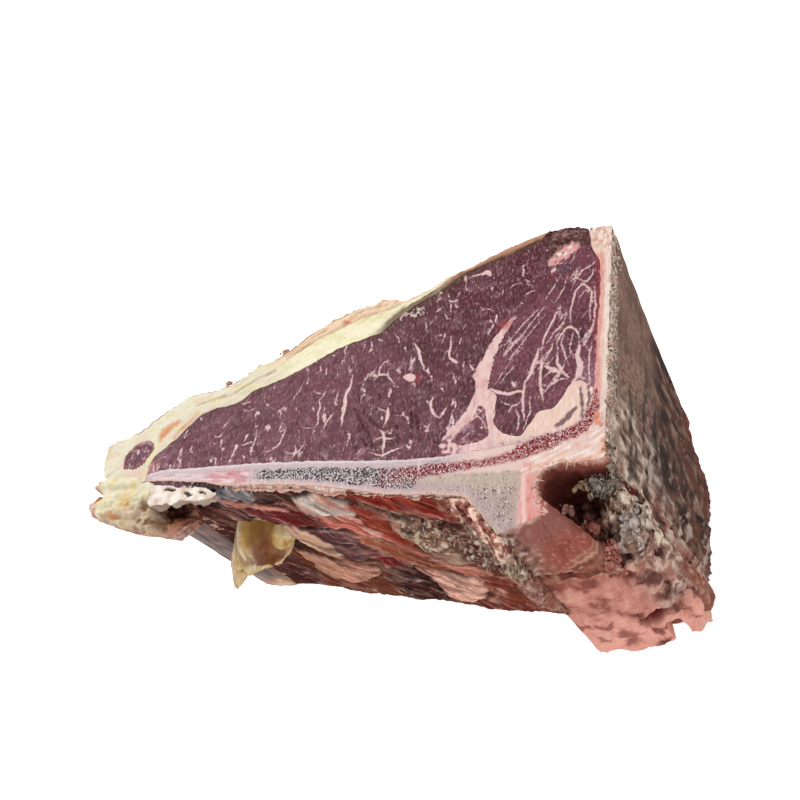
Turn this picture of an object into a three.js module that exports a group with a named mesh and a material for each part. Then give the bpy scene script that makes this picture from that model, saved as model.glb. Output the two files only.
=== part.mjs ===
// A bone-in beef sirloin: a block of loin sawn across twice and once along the backbone.
// It lies on its far cut face, so +Z runs along the backbone towards the fresh cut face.
// +Y is the way the spines of the vertebrae point, +X is the sawn backbone side. Millimetres.
import * as THREE from "three";

const LENGTH = 120; // between the two cut faces, along the backbone
const GAP = 0.3; // left between tissues that touch
const STEP = 6; // spacing of the points on an outline
const SMALL_STEP = 4; // the same on small outlines
const LARGE_STEP = 12; // and on straight ones
const SLICE = 20; // spacing of the sections along the backbone
const LUMP_SLICE = 8; // the same for the lumps on the inner side

const SAWN_X = 72; // the backbone side on the fresh face
const FLARE = 12; // how far that side leans out by the far face
const FLARE_AT_TIP = 4; // and at the tips of the spines
const FLARE_START_X = 30;
const TAPER = 0.29; // share of its height that the loin would lose by the far face
const TAPER_EASE = 0.1; // share that it keeps again, because the loss slows down
const TAPER_FOOT_Y = -15; // the height is measured from the side processes
const DROP = 4; // how much lower the vertebral bodies reach at the far face
const DROP_START_Y = -25;

const SPINE_TOP_Y = 70; // tip of the spine on the fresh face
const CANAL_ROOF_Y = -12.5; // where the sawn side meets the spinal canal
const JOINTS_Z = [85, 35]; // middles of the joints between the three vertebrae
const JOINT_WIDTH = 5;
const CANAL_LEFT_X = 52; // the tissue in the canal rises from here
const CANAL_RISE = 0.85; // by this much for each millimetre, to the sawn side
const FAT_RELIEF = 0.9; // how far the lumps of an outer surface reach
const SAWN_RELIEF = 0.8;
const SHARPEST = 0.4; // limits how far a sharp corner moves in

const colours = {
  lean: { color: 0x6b3f46, roughness: 0.55 },
  fat: { color: 0xe6d9b4, roughness: 0.6 },
  seamFat: { color: 0xd9a9a6, roughness: 0.6 },
  bone: { color: 0xb9a29c, roughness: 0.7 },
  gristle: { color: 0xb08d80, roughness: 0.65 },
  driedLean: { color: 0x7a2a1a, roughness: 0.5 },
  driedFat: { color: 0xb9ab92, roughness: 0.8 },
};

// The outlines below are drawn on the fresh cut face. An edge is one smooth curve through its points.
// Its bare value is how far the relief of an outer surface moves it; neighbours share the other edges.
function edge(points, bare = 0, spacing = STEP) {
  const curve = new THREE.CatmullRomCurve3(
    points.map(([x, y]) => new THREE.Vector3(x, y, 0)),
    false,
    "centripetal",
  );
  const count = Math.max(1, Math.round(curve.getLength() / spacing));
  return curve.getSpacedPoints(count).map((p, i) => ({
    x: p.x,
    y: p.y,
    bare: bare * Math.min(1, 3 * Math.sin((Math.PI * i) / count)),
  }));
}

const backwards = (points) => points.slice().reverse();

function loop(...edges) {
  const all = edges.flatMap((points) => points.slice(0, -1));
  const area = THREE.ShapeUtils.area(all.map((p) => new THREE.Vector2(p.x, p.y)));
  return area > 0 ? all : all.reverse();
}

// Fat cap
const capOuter = edge(
  [[-124, -15], [-128, -9], [-128.5, -4], [-128, 2], [-112, 9.5], [-96.5, 20.5], [-78, 24], [-65, 31],
    [-50, 38], [-40, 44.5], [-30, 49.5], [-20, 52], [-10, 53], [2, 54.2], [20, 62.2], [40, 70], [50, 72.5]],
  FAT_RELIEF,
);
const capInner = edge([
  [-106, -9], [-103, -4.5], [-95, 2.5], [-87, 11], [-82, 13.3], [-71, 15], [-65, 19.5], [-50, 24.5],
  [-35, 31.5], [-20, 36.7], [-13, 38.3], [-4, 45.5], [9, 53], [20, 59.8], [36, 65], [47, 69],
]);
const capEnd = edge([[50, 72.5], [47, 69]]);
const loinTail = edge([[-105.3, -12.5], [-106, -9]]);
const capFoot = edge([[-106, -9], [-105.3, -12.5], [-106, -15], [-116, -16], [-124, -15]]);
const flankMuscleRim = edge([
  [-118, -9], [-118.7, -5], [-116, -0.5], [-112, 2], [-107.5, 2], [-105.6, -0.5], [-107, -4.5],
  [-109.5, -7.5], [-113, -9], [-118, -9],
], 0, SMALL_STEP);

// Seams of fat between the muscles
const seamLeft = edge([
  [16, -14], [16.6, -9], [18, -5.5], [24.3, 2], [27, 11], [25.8, 16], [29, 23], [31, 28], [38.5, 38.5],
  [49, 52], [50, 57],
]);
const seamRight = edge([
  [50, 57], [51, 52], [46.3, 45], [37.3, 33.5], [34.9, 28], [33.2, 22], [32, 15], [31.6, 10],
]);
const lobes = edge([
  [31.6, 10], [35, 6.5], [34.3, 1], [35.5, -4.5], [39.5, -8], [44.5, -8.6], [47.5, -4.5], [50.5, -0.5],
  [54.5, 0], [57.5, 3.5], [60, 8], [63, 9.2], [67.8, 6],
], 0, SMALL_STEP);
const deepMuscleRim = edge([
  [20.3, -8], [23.5, -4.5], [27, -1.5], [29.4, 3.5], [31, 1.5], [32, -3], [33, -7.8], [28, -9.8],
  [22.5, -10], [20.3, -8],
], 0, SMALL_STEP);

// Vertebra: the side process runs left, the spine runs up, the sawn side faces +X
const loinFoot = edge([
  [-105.3, -12.5], [-100, -11], [-84, -11], [-55, -11.2], [-25, -12.4], [-10, -13.6], [4, -14.2],
  [16, -14],
]);
const archTop = edge([[16, -14], [40, -12], [50, -10.5], [58, -8.3], [64, -5], [67, -0.5], [67.8, 6]]);
const spineInner = edge([
  [67.8, 6], [68, 15], [68.3, 30], [68.6, 45], [68.2, 55], [66.3, 60], [64.6, 64],
]);
const spineInnerTip = edge([[64.6, 64], [64, 69.5]]);
const spineTip = edge([[64, 69.5], [68, SPINE_TOP_Y + 0.4], [SAWN_X, SPINE_TOP_Y]]);
const sawnSide = edge([[SAWN_X, SPINE_TOP_Y], [SAWN_X, CANAL_ROOF_Y]], SAWN_RELIEF, LARGE_STEP);
const canalOpen = edge([
  [SAWN_X, CANAL_ROOF_Y], [71.5, -18.5], [64, -19.3], [57, -19.6], [52.5, -21.5], [50.7, -25.5], [52, -31],
  [55, -35.8],
], 0, SMALL_STEP);
const canalShut = edge([
  [SAWN_X, CANAL_ROOF_Y], [71.5, -18.5], [64, -19.3], [57, -19.6], [52.5, -21.5], [50.7, -25.5], [52, -31],
  [56, -34], [63, -33.5], [71, -30.5],
], 0, SMALL_STEP);
const bevelOpen = edge([[55, -35.8], [47, -39], [39, -42.2]]);
const bevelShut = edge([[71, -30.5], [71.6, -33], [62, -37.3], [50, -41.3], [39, -42.2]]);
const boneFoot = edge([
  [39, -42.2], [35.5, -38.3], [31.5, -33.5], [27.5, -29.5], [20, -28], [0, -26.4], [-20, -23.2],
  [-40, -20.5], [-70, -18.8], [-78, -17.3], [-98, -15.3], [-106, -15],
]);
const boneTail = edge([[-106, -15], [-105.3, -12.5]]);

// Fat and gristle at the tip of the spines
const tipTop = edge([[64, 69.5], [62, 71.5], [57, 72.8], [50, 72.5]], FAT_RELIEF);
const tipLeft = edge([[47, 69], [49.3, 65], [48.6, 60.5], [50, 57]]);
const tipFoot = edge([[50, 57], [53, 55.5], [56.5, 58.5], [60, 62], [64.6, 64]]);

const outlines = {
  fatCap: loop(capOuter, capEnd, backwards(capInner), capFoot),
  flankMuscle: loop(flankMuscleRim),
  loinEye: loop(capInner, tipLeft, backwards(seamLeft), backwards(loinFoot), loinTail),
  seamFat: loop(archTop, backwards(lobes), backwards(seamRight), backwards(seamLeft)),
  deepMuscle: loop(deepMuscleRim),
  chineMuscle: loop(seamRight, lobes, spineInner, backwards(tipFoot)),
  tipFat: loop(tipTop, capEnd, tipLeft, tipFoot, spineInnerTip),
  nearVertebra: loop(loinFoot, archTop, spineInner, spineInnerTip, spineTip, sawnSide, canalOpen, bevelOpen,
    boneFoot, boneTail),
  vertebra: loop(loinFoot, archTop, spineInner, spineInnerTip, spineTip, sawnSide, canalShut, bevelShut,
    boneFoot, boneTail),
  canalTissue: loop(edge([
    [70.3, -19.5], [64, -20.3], [57.3, -20.6], [53.5, -22.3], [51.9, -25.5], [53, -30.4], [56.4, -33],
    [63, -32.5], [70.3, -29.8], [72.6, -27], [72.8, -22.5], [70.3, -19.5],
  ], 0, SMALL_STEP)),
};

// Each point moves in by half the gap, along the bisector of its two sides.
function inset(points, by) {
  return points.map((p, i) => {
    const before = points[(i + points.length - 1) % points.length];
    const after = points[(i + 1) % points.length];
    const arriving = new THREE.Vector2(p.x - before.x, p.y - before.y).normalize();
    const leaving = new THREE.Vector2(after.x - p.x, after.y - p.y).normalize();
    const inward = new THREE.Vector2(-arriving.y - leaving.y, arriving.x + leaving.x).normalize();
    const slant = Math.max(SHARPEST, inward.dot(new THREE.Vector2(-arriving.y, arriving.x)));
    return { ...p, x: p.x + (inward.x * by) / slant, y: p.y + (inward.y * by) / slant, inward };
  });
}

// The block widens towards the far face on its sawn side, loses height along its back and gets deeper
// under the vertebral bodies.
function shaped(x, y, z) {
  const { smoothstep, lerp } = THREE.MathUtils;
  const far = 1 - z / LENGTH;
  const flare = lerp(FLARE, FLARE_AT_TIP, smoothstep(y, SPINE_TOP_Y / 3, SPINE_TOP_Y));
  const side = flare * far * smoothstep(x, FLARE_START_X, SAWN_X);
  const loss = TAPER * far - TAPER_EASE * far * far;
  const rise = Math.max(0, y - TAPER_FOOT_Y);
  const drop = DROP * far * smoothstep(-y, -DROP_START_Y, -DROP_START_Y + 20);
  return new THREE.Vector3(x + side, y - rise * loss - drop, z);
}

function lumps(x, y, z) {
  return Math.sin(0.09 * x + 0.05 * z) * 0.6 + Math.sin(0.17 * z - 0.11 * y + 0.06 * x) * 0.4;
}

function levelsBetween(low, high, slice = SLICE) {
  const count = Math.max(1, Math.round((high - low) / slice));
  return Array.from({ length: count + 1 }, (_, i) => low + ((high - low) * i) / count);
}

// A closed solid from rings of points that match from one level to the next. The rings after the first
// are holes that run through it.
function solidFromRings(levels, ringsAt) {
  const positions = [];
  const index = [];
  const rings = levels.map(ringsAt);
  const start = rings.map((level) => level.map((ring) => {
    const first = positions.length / 3;
    ring.forEach((p) => positions.push(p.x, p.y, p.z));
    return first;
  }));
  for (let l = 0; l < levels.length - 1; l++) {
    rings[l].forEach((ring, r) => {
      ring.forEach((_, i) => {
        const next = (i + 1) % ring.length;
        const [a, b] = [start[l][r] + i, start[l][r] + next];
        const [c, d] = [start[l + 1][r] + i, start[l + 1][r] + next];
        index.push(a, b, d, a, d, c);
      });
    });
  }
  const flat = (ring) => ring.map((p) => new THREE.Vector2(p.x, p.y));
  const last = levels.length - 1;
  const capFaces = (level) => {
    const [rim, ...holes] = rings[level].map(flat);
    return THREE.ShapeUtils.triangulateShape(rim, holes);
  };
  const numbered = (level) => rings[level].flatMap((ring, r) => ring.map((_, i) => start[level][r] + i));
  const [lower, upper] = [numbered(0), numbered(last)];
  capFaces(0).forEach(([a, b, c]) => index.push(lower[a], lower[c], lower[b]));
  capFaces(last).forEach(([a, b, c]) => index.push(upper[a], upper[b], upper[c]));
  const geometry = new THREE.BufferGeometry();
  geometry.setAttribute("position", new THREE.Float32BufferAttribute(positions, 3));
  geometry.setIndex(index);
  geometry.computeVertexNormals();
  return geometry;
}

// A tissue that runs along the backbone from one level to another. Its upper end may rise across it.
function tissue(outline, low, high, { holes = [], riseAt = () => 0 } = {}) {
  const rims = [inset(outline, GAP / 2), ...holes.map((hole) => inset(backwards(hole), GAP / 2))];
  return solidFromRings(levelsBetween(low, high), (z) => rims.map((rim) => rim.map((p) => {
    const out = p.bare * lumps(p.x, p.y, z);
    const level = z + (riseAt(p.x) * (z - low)) / (high - low);
    return shaped(p.x - p.inward.x * out, p.y - p.inward.y * out, level);
  })));
}

// A lump that hangs under a line and thins out towards its ends. Its thickness is depth, plus growth for
// each millimetre to the right, plus a wave of the height swell.
function hanging(line, { low, high, depth, growth = 0, swell = 1 }) {
  const middle = (low + high) / 2;
  const reach = (high - low) / 2 + LUMP_SLICE / 2;
  const centreX = (line[0].x + line[line.length - 1].x) / 2;
  return solidFromRings(levelsBetween(low, high, LUMP_SLICE), (z) => {
    const alongZ = Math.sqrt(1 - ((z - middle) / reach) ** 2);
    const foot = line.map((p, i) => {
      const alongX = Math.sqrt(Math.sin((Math.PI * (i + 0.5)) / line.length));
      const thickness = depth + growth * (p.x - centreX) + swell * lumps(p.x, 0, 3 * z);
      return shaped(p.x, p.y - 1 - Math.max(0, thickness) * alongX * alongZ, z);
    });
    const top = backwards(line).map((p) => shaped(p.x, p.y, z));
    return [[...foot, ...top]];
  });
}

const root = new THREE.Group();

function add(name, look, geometry) {
  const mesh = new THREE.Mesh(geometry, new THREE.MeshStandardMaterial({ ...colours[look], metalness: 0 }));
  mesh.name = name;
  root.add(mesh);
}

// Meat and fat of the loin
add("fat_cap", "fat", tissue(outlines.fatCap, 0, LENGTH, { holes: [outlines.flankMuscle] }));
add("flank_muscle", "lean", tissue(outlines.flankMuscle, 0, LENGTH));
add("loin_eye", "lean", tissue(outlines.loinEye, 0, LENGTH));
add("seam_fat", "seamFat", tissue(outlines.seamFat, 0, LENGTH, { holes: [outlines.deepMuscle] }));
add("deep_muscle", "lean", tissue(outlines.deepMuscle, 0, LENGTH));
add("chine_muscle", "lean", tissue(outlines.chineMuscle, 0, LENGTH));
add("tip_fat", "seamFat", tissue(outlines.tipFat, 0, LENGTH));

// Three vertebrae with a joint of gristle between each two
const half = JOINT_WIDTH / 2;
const [upperJoint, lowerJoint] = JOINTS_Z;
const vertebraSpans = [
  ["vertebra_1", outlines.nearVertebra, upperJoint + half, LENGTH],
  ["vertebra_2", outlines.vertebra, lowerJoint + half, upperJoint - half],
  ["vertebra_3", outlines.vertebra, 0, lowerJoint - half],
];
vertebraSpans.forEach(([name, outline, low, high]) => add(name, "bone", tissue(outline, low, high)));
JOINTS_Z.forEach((z, i) => add(
  `joint_gristle_${i + 1}`,
  "gristle",
  tissue(outlines.vertebra, z - half + GAP, z + half - GAP),
));
const canalRise = (x) => CANAL_RISE * (x - CANAL_LEFT_X);
add("canal_tissue", "driedFat", tissue(outlines.canalTissue, 0, upperJoint, { riseAt: canalRise }));

// Inner side: the flank fat folds under at both ends, and dried lean, muscle and fat lie along the side
// processes.
const underBone = (fromX, toX, drop) => {
  const count = Math.round((toX - fromX) / STEP);
  return Array.from({ length: count + 1 }, (_, i) => {
    const x = fromX + ((toX - fromX) * i) / count;
    const after = boneFoot.findIndex((p) => p.x <= x);
    const [a, b] = [boneFoot[after - 1], boneFoot[after]];
    return { x, y: a.y + ((b.y - a.y) * (x - a.x)) / (b.x - a.x) - drop };
  });
};
const underFlank = edge([[-133, -17.4], [-128, -17.1], [-116, -17.9], [-107, -17.2]]).slice(0, -1);
const flankLine = [...underFlank, ...underBone(-105, -73, 0.9)];
add("flank_fat_1", "fat", hanging(flankLine, { low: 92, high: 119, depth: 19, growth: 0.12, swell: 1.5 }));
add("flank_fat_2", "fat", hanging(flankLine.slice(3), { low: 14, high: 88, depth: 18, swell: 3 }));
add("inner_lean", "driedLean", hanging(underBone(-69, 26, 0.6), { low: 0, high: 117, depth: 3.4 }));
add("inner_muscle", "lean", hanging(underBone(-66, -36, 6.4), { low: 40, high: 90, depth: 4 }));
add("inner_fat", "driedFat", hanging(underBone(-31, 20, 6.4), { low: 52, high: 108, depth: 3 }));
add("inner_gristle", "gristle", hanging(underBone(27.5, 38.5, 1.2), { low: 88, high: 116, depth: 5 }));

export default root;
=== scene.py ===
import bmesh
import bpy
import numpy as np
from mathutils import Matrix, Vector


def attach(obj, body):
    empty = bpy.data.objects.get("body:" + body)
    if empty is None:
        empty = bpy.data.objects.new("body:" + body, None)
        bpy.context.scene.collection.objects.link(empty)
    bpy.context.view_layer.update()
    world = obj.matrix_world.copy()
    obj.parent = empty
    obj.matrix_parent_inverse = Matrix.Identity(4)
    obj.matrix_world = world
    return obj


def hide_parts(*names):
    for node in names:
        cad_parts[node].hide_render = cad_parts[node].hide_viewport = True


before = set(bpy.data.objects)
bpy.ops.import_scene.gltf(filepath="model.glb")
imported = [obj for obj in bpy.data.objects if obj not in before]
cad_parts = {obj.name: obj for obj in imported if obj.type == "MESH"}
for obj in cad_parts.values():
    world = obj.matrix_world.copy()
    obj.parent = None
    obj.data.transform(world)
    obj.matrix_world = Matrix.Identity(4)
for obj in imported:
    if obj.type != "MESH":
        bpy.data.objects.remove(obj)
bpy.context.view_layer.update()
millimetre = 0.001  # all lengths below are in millimetres until a mesh is made
length = 120.0  # of the block, from the far cut face to the fresh one


# Noise
def threeSizes(size):
    # one size for all axes, or one for x, one for y and, where z isn't flat, one for z
    sizes = np.ravel(size).astype(float)
    return np.append(sizes, 1.0)[:3] if len(sizes) > 1 else np.repeat(sizes, 3)


def noise(size, seed, x, y, z=0.0):
    # random slopes at the corners of a grid of this size, blended smoothly: about -1 to 1
    x, y, z = np.broadcast_arrays(x, y, z)
    points = np.stack([x.ravel(), y.ravel(), z.ravel()], 1) / threeSizes(size)
    rng = np.random.default_rng(seed)
    slopes = rng.normal(size=(256, 3))
    slopes /= np.linalg.norm(slopes, axis=1, keepdims=True)
    order = rng.permutation(256)
    cell = np.floor(points).astype(np.int64)
    local = points - cell
    blend = local**3 * (local * (local * 6 - 15) + 10)
    total = np.zeros(len(points))
    for corner in np.ndindex(2, 2, 2):
        at = (cell + corner) & 255
        pick = order[(order[(order[at[:, 0]] + at[:, 1]) & 255] + at[:, 2]) & 255]
        weight = np.where(np.array(corner) == 1, blend, 1 - blend).prod(1)
        total += weight * (slopes[pick] * (local - corner)).sum(1)
    return (total * 1.6).reshape(x.shape)


def fbm(size, seed, x, y, z=0.0, octaves=3):
    # sum of noises, each half the size and 0.55 of the strength of the one before
    size = threeSizes(size)
    total = 0.0
    for i in range(octaves):
        total = total + 0.55**i * noise(size / 2**i, seed + i, x, y, z)
    return total


def cells(size, seed, x, y):
    # distance to the nearest and second nearest of the random points, one in each square
    u, v = x / size, y / size
    rng = np.random.default_rng(seed)
    shift = rng.random((256, 2))
    order = rng.permutation(256)
    near = np.full(u.shape, 9.0)
    second = np.full(u.shape, 9.0)
    for di, dj in np.ndindex(3, 3):
        ci = np.floor(u).astype(np.int64) + di - 1
        cj = np.floor(v).astype(np.int64) + dj - 1
        pick = order[(order[ci & 255] + cj) & 255]
        away = np.hypot(ci + shift[pick, 0] - u, cj + shift[pick, 1] - v)
        second = np.minimum(second, np.maximum(away, near))
        near = np.minimum(near, away)
    return near * size, second * size


def ease(low, high, value):
    t = np.clip((value - low) / (high - low), 0, 1)
    return t * t * (3 - 2 * t)


def bump(centre, half, value):
    # 1 at the centre, 0 from half away on
    return 1 - ease(0, 1, np.abs(value - centre) / half)


def spot(x, y, cx, cy, rx, ry, wave=0):
    # 1 in the middle of an ellipse, 0 from its edge on; the wave moves the edge
    return bump(0, 1, np.hypot((x - cx) / rx, (y - cy) / ry) + wave)


# Colour
lightLevel = 1.5  # how bright white paper is on the fresh face
sheenLevel = 0.03  # the grey that gloss adds there
wallLight = 1.12  # the same two for an upright wall without gloss
wallSheen = 0.022


def rgb(r, g, b):
    # the surface colour that shows as this screen colour on the fresh face
    c = np.array([r, g, b]) / 255.0
    light = np.where(c <= 0.04045, c / 12.92, ((c + 0.055) / 1.055) ** 2.4)
    return np.maximum(light - sheenLevel, 0.15 * light) / lightLevel


def surface(colour):
    # a tuple is a screen colour, an array is a surface colour already
    return rgb(*colour) if isinstance(colour, tuple) else colour


def onWall(colour):
    # the surface colour that shows on an upright wall as the given one does on the fresh face
    light = surface(colour) * lightLevel
    light = light + np.minimum(sheenLevel, 5.67 * light)
    return np.clip(np.maximum(light - wallSheen, 0.3 * light) / wallLight, 0, 0.95)


def over(under, colour, mask):
    mask = np.asarray(mask)[..., None]
    return surface(under) * (1 - mask) + surface(colour) * mask


def layered(colour, layers):
    # the layers painted one on the other; a layer is a colour and where it lies
    for tint, mask in layers:
        colour = over(colour, tint, mask)
    return colour


def threeTones(dark, middle, pale, value, high, low):
    # pale where the value is high, dark where it is low
    return over(over(middle, pale, ease(*high, value)), dark, ease(*low, value))


def crumbColours(a, b, c, size, seed, dark, middle, pale):
    return threeTones(dark, middle, pale, fbm(size, seed, a, b, c, 4), (0.05, 0.5), (-0.08, -0.55))


# Curves
def curve(points, step=0.1):
    # centripetal Catmull-Rom curve through the points, sampled every step
    p = np.array(points, float)
    p = np.concatenate([[2 * p[0] - p[1]], p, [2 * p[-1] - p[-2]]])
    pieces = []
    for a, b, c, d in zip(p, p[1:], p[2:], p[3:]):
        roots = [np.hypot(*(q - r)) ** 0.5 for q, r in ((b, a), (c, b), (d, c))]
        knots = np.concatenate([[0], np.cumsum(roots)])
        t = np.linspace(knots[1], knots[2], max(3, int(np.hypot(*(c - b)) / step)))[:, None]

        def between(i, j, u, v):
            return ((knots[j] - t) * u + (t - knots[i]) * v) / (knots[j] - knots[i])

        ab, bc, cd = between(0, 1, a, b), between(1, 2, b, c), between(2, 3, c, d)
        pieces.append(between(1, 2, between(0, 2, ab, bc), between(1, 3, bc, cd))[:-1])
    return np.concatenate(pieces + [p[-2:-1]])


def joined(*curves):
    return np.concatenate([curves[0]] + [c[1:] for c in curves[1:]])


def back(points):
    return points[::-1]


def resampled(points, count):
    along = np.concatenate([[0], np.cumsum(np.hypot(*np.diff(points, axis=0).T))])
    at = np.linspace(0, along[-1], count + 1)
    return np.stack([np.interp(at, along, points[:, k]) for k in (0, 1)], 1)


def nearest(points, at):
    return int(np.argmin(np.hypot(*(points - at).T)))


def ladder(left, right, stations, step):
    # two chains of matching points along the two curves. A station is a point of one and the matching point
    # of the other, and may say by how much the steps up to it are longer.
    chains = ([], [])
    old = (0, 0)
    for station in stations:
        new = (nearest(left, station[:2]), nearest(right, station[2:4]))
        new = (max(new[0], old[0]), max(new[1], old[1]))
        runs = [points[a:b + 1] for points, a, b in zip((left, right), old, new)]
        longest = max(np.hypot(*np.diff(run, axis=0).T).sum() if len(run) > 1 else 0 for run in runs)
        if longest > 0:
            count = max(1, int(round(longest / (step * (station[4] if len(station) > 4 else 1)))))
            for chain, run in zip(chains, runs):
                chain.append(resampled(run, count)[:-1] if len(run) > 1 else np.repeat(run, count, 0))
        old = new
    return [np.concatenate(chain + [points[-1:]]) for chain, points in zip(chains, (left, right))]


def evenLadder(one, other, count, step):
    # a ladder whose stations lie evenly along both curves
    return ladder(one, other, np.hstack([resampled(one, count), resampled(other, count)])[1:], step)


def splitRim(points, start, end):
    # the two ways round a closed rim, from one of its points to another
    rim = curve(points)[:-1]
    a = nearest(rim, start)
    rim = np.roll(rim, -a, 0)
    b = nearest(rim, end)
    return rim[:b + 1], np.concatenate([rim[:1], rim[:b - 1:-1]])


def distanceTo(x, y, points, count=140):
    # distance to the nearest of a number of points along a curve
    near = resampled(points, count)
    out = np.empty(len(x))
    for start in range(0, len(x), 20000):
        part = slice(start, start + 20000)
        out[part] = np.hypot(near[None, :, 0] - x[part, None], near[None, :, 1] - y[part, None]).min(1)
    return out


def lineDistance(x, y, lines):
    # how far inside the nearest drawn line each point is; lines are given by half width, and their ends taper
    inside = np.full(x.shape, -9.0)
    for half, points in [(half, points) for half, group in lines.items() for points in group]:
        p = resampled(curve(points, 0.3), max(2, 2 * len(points)))
        taper = np.sin(np.pi * np.linspace(0.06, 0.94, len(p))) ** 0.6
        low, high = p.min(0) - 3, p.max(0) + 3
        close = (x > low[0]) & (x < high[0]) & (y > low[1]) & (y < high[1])
        px, py = x[close], y[close]
        best = inside[close]
        for (a, b, wa, wb) in zip(p, p[1:], taper, taper[1:]):
            d = b - a
            t = np.clip(((px - a[0]) * d[0] + (py - a[1]) * d[1]) / (d @ d + 1e-9), 0, 1)
            away = np.hypot(px - a[0] - t * d[0], py - a[1] - t * d[1])
            best = np.maximum(best, half * (wa + (wb - wa) * t) - away)
        inside[close] = best
    return inside


# Shape of the block
def shaped(x, y, z):
    # as in the CAD: towards the far face the sawn side leans out, the back drops and the bodies get deeper
    far = 1 - z / length
    flare = 12 - 8 * ease(70 / 3, 70, y)
    side = flare * far * ease(30, 72, x)
    loss = 0.29 * far - 0.1 * far**2
    drop = 4 * far * ease(25, 45, -y)
    return x + side, y - np.maximum(0, y + 15) * loss - drop, z


def wander(x, y, z):
    # small irregularities of every boundary, shared by neighbours: two noises, 2.6 mm and 0.9 mm
    dx = 0.32 * noise((2.6, 2.6, 9), 11, x, y, z) + 0.12 * noise((0.9, 0.9, 5), 12, x, y, z)
    dy = 0.32 * noise((2.6, 2.6, 9), 13, x, y, z) + 0.12 * noise((0.9, 0.9, 5), 14, x, y, z)
    return dx, dy


def cutWave(x, y):
    # the hand-cut face isn't quite flat
    return 0.35 * noise(17, 21, x, y) + 0.12 * noise(5, 22, x, y)


# Meshes
def placed(name, data):
    thing = bpy.data.objects.new(name, data)
    bpy.context.scene.collection.objects.link(thing)
    return thing


def makeMesh(name, points, triangles, looks, material, nodes=(), sharp=50):
    # one visual piece, that stands in for the CAD nodes if any are named
    mesh = bpy.data.meshes.new(name)
    mesh.from_pydata((points * millimetre).tolist(), [], triangles.tolist())
    mesh.update()
    count = len(points)
    for key in ("paint", "deep"):
        values = np.ones((count, 4), np.float32)
        values[:, :3] = looks.get(key, looks["paint"])
        mesh.attributes.new(key, "FLOAT_COLOR", "POINT").data.foreach_set("color", values.ravel())
    for key, plainValue in (("pore", 0), ("vein", -9), ("fleck", 0), ("wet", 0)):
        values = np.broadcast_to(looks.get(key, plainValue), (count,)).astype(np.float32)
        mesh.attributes.new(key, "FLOAT", "POINT").data.foreach_set("value", np.ascontiguousarray(values))
    mesh.polygons.foreach_set("use_smooth", np.ones(len(mesh.polygons), bool))
    mesh.set_sharp_from_angle(angle=np.radians(sharp))
    mesh.materials.append(material)
    piece = placed(name, mesh)
    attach(piece, "root")
    if nodes:
        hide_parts(*nodes)
    print("made", name, len(points), "points", len(triangles), "triangles")


def quadTriangles(a, b, c, d):
    quads = np.stack([a.ravel(), b.ravel(), c.ravel(), d.ravel()], 1)
    return np.concatenate([quads[:, [0, 1, 2]], quads[:, [0, 2, 3]]])


def welded(base, triangles, extra):
    # points that lie in one place become one; triangles without area go
    places = np.round(base * 2000).astype(np.int64)
    _, first, number = np.unique(places, axis=0, return_index=True, return_inverse=True)
    number = number.ravel()
    kept = {key: value[first] for key, value in extra.items()}
    t = number[triangles]
    t = t[(t[:, 0] != t[:, 1]) & (t[:, 1] != t[:, 2]) & (t[:, 2] != t[:, 0])]
    return base[first], t, kept


def loft(chains, across, levels):
    # a closed block: the fresh face is ruled between the two chains, walls go down through the levels
    left, right = chains
    n, m = len(left), across + 1
    t = np.linspace(0, 1, m)
    flat = left[:, None] * (1 - t)[None, :, None] + right[:, None] * t[None, :, None]
    ids = np.arange(n * m).reshape(n, m)
    outline = np.concatenate([left, right[::-1]])
    turned = np.roll(outline, -1, 0)
    area = (outline[:, 0] * turned[:, 1] - turned[:, 0] * outline[:, 1]).sum()
    # the ring runs up the left chain and back down the right one
    ring = np.concatenate([ids[:, 0], ids[::-1, -1]])
    ringXY = flat.reshape(-1, 2)[ring]
    spread = np.repeat(t[None, :], n, 0)
    # outward directions along the ring
    ahead = np.roll(ringXY, -1, 0) - np.roll(ringXY, 1, 0)
    outward = np.stack([ahead[:, 1], -ahead[:, 0]], 1)
    outward /= np.linalg.norm(outward, axis=1, keepdims=True) + 1e-9
    if area < 0:
        outward = -outward
    lower = levels[1:]
    base = [np.column_stack([flat.reshape(-1, 2), np.full(n * m, levels[0])])]
    sideT = [spread.ravel()]
    capOut = np.zeros((n * m, 2))
    capOut[ring] = outward
    outs = [capOut]
    for z in lower:
        base.append(np.column_stack([ringXY, np.full(len(ring), z)]))
        sideT.append(spread.ravel()[ring])
        outs.append(outward)
    onTop = np.concatenate([np.ones(n * m), np.zeros(len(ring) * len(lower))])
    rows = np.array([ring] + [n * m + k * len(ring) + np.arange(len(ring)) for k in range(len(lower))])
    nextOf = np.roll(rows, -1, 1)
    walls = quadTriangles(rows[:-1], rows[1:], nextOf[1:], nextOf[:-1])
    top = quadTriangles(ids[:-1, :-1], ids[1:, :-1], ids[1:, 1:], ids[:-1, 1:])
    last = rows[-1]
    leftIds, rightIds = last[:n], last[n:][::-1]
    bottom = quadTriangles(leftIds[:-1], rightIds[:-1], rightIds[1:], leftIds[1:])
    triangles = np.concatenate([top, walls, bottom])
    if area < 0:
        triangles = triangles[:, ::-1]
    extra = {"t": np.concatenate(sideT), "out": np.concatenate(outs), "top": onTop}
    return welded(np.concatenate(base), triangles, extra)


def evenLevels(high, low, step):
    return np.linspace(high, low, max(2, int(round((high - low) / step)) + 1))


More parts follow.
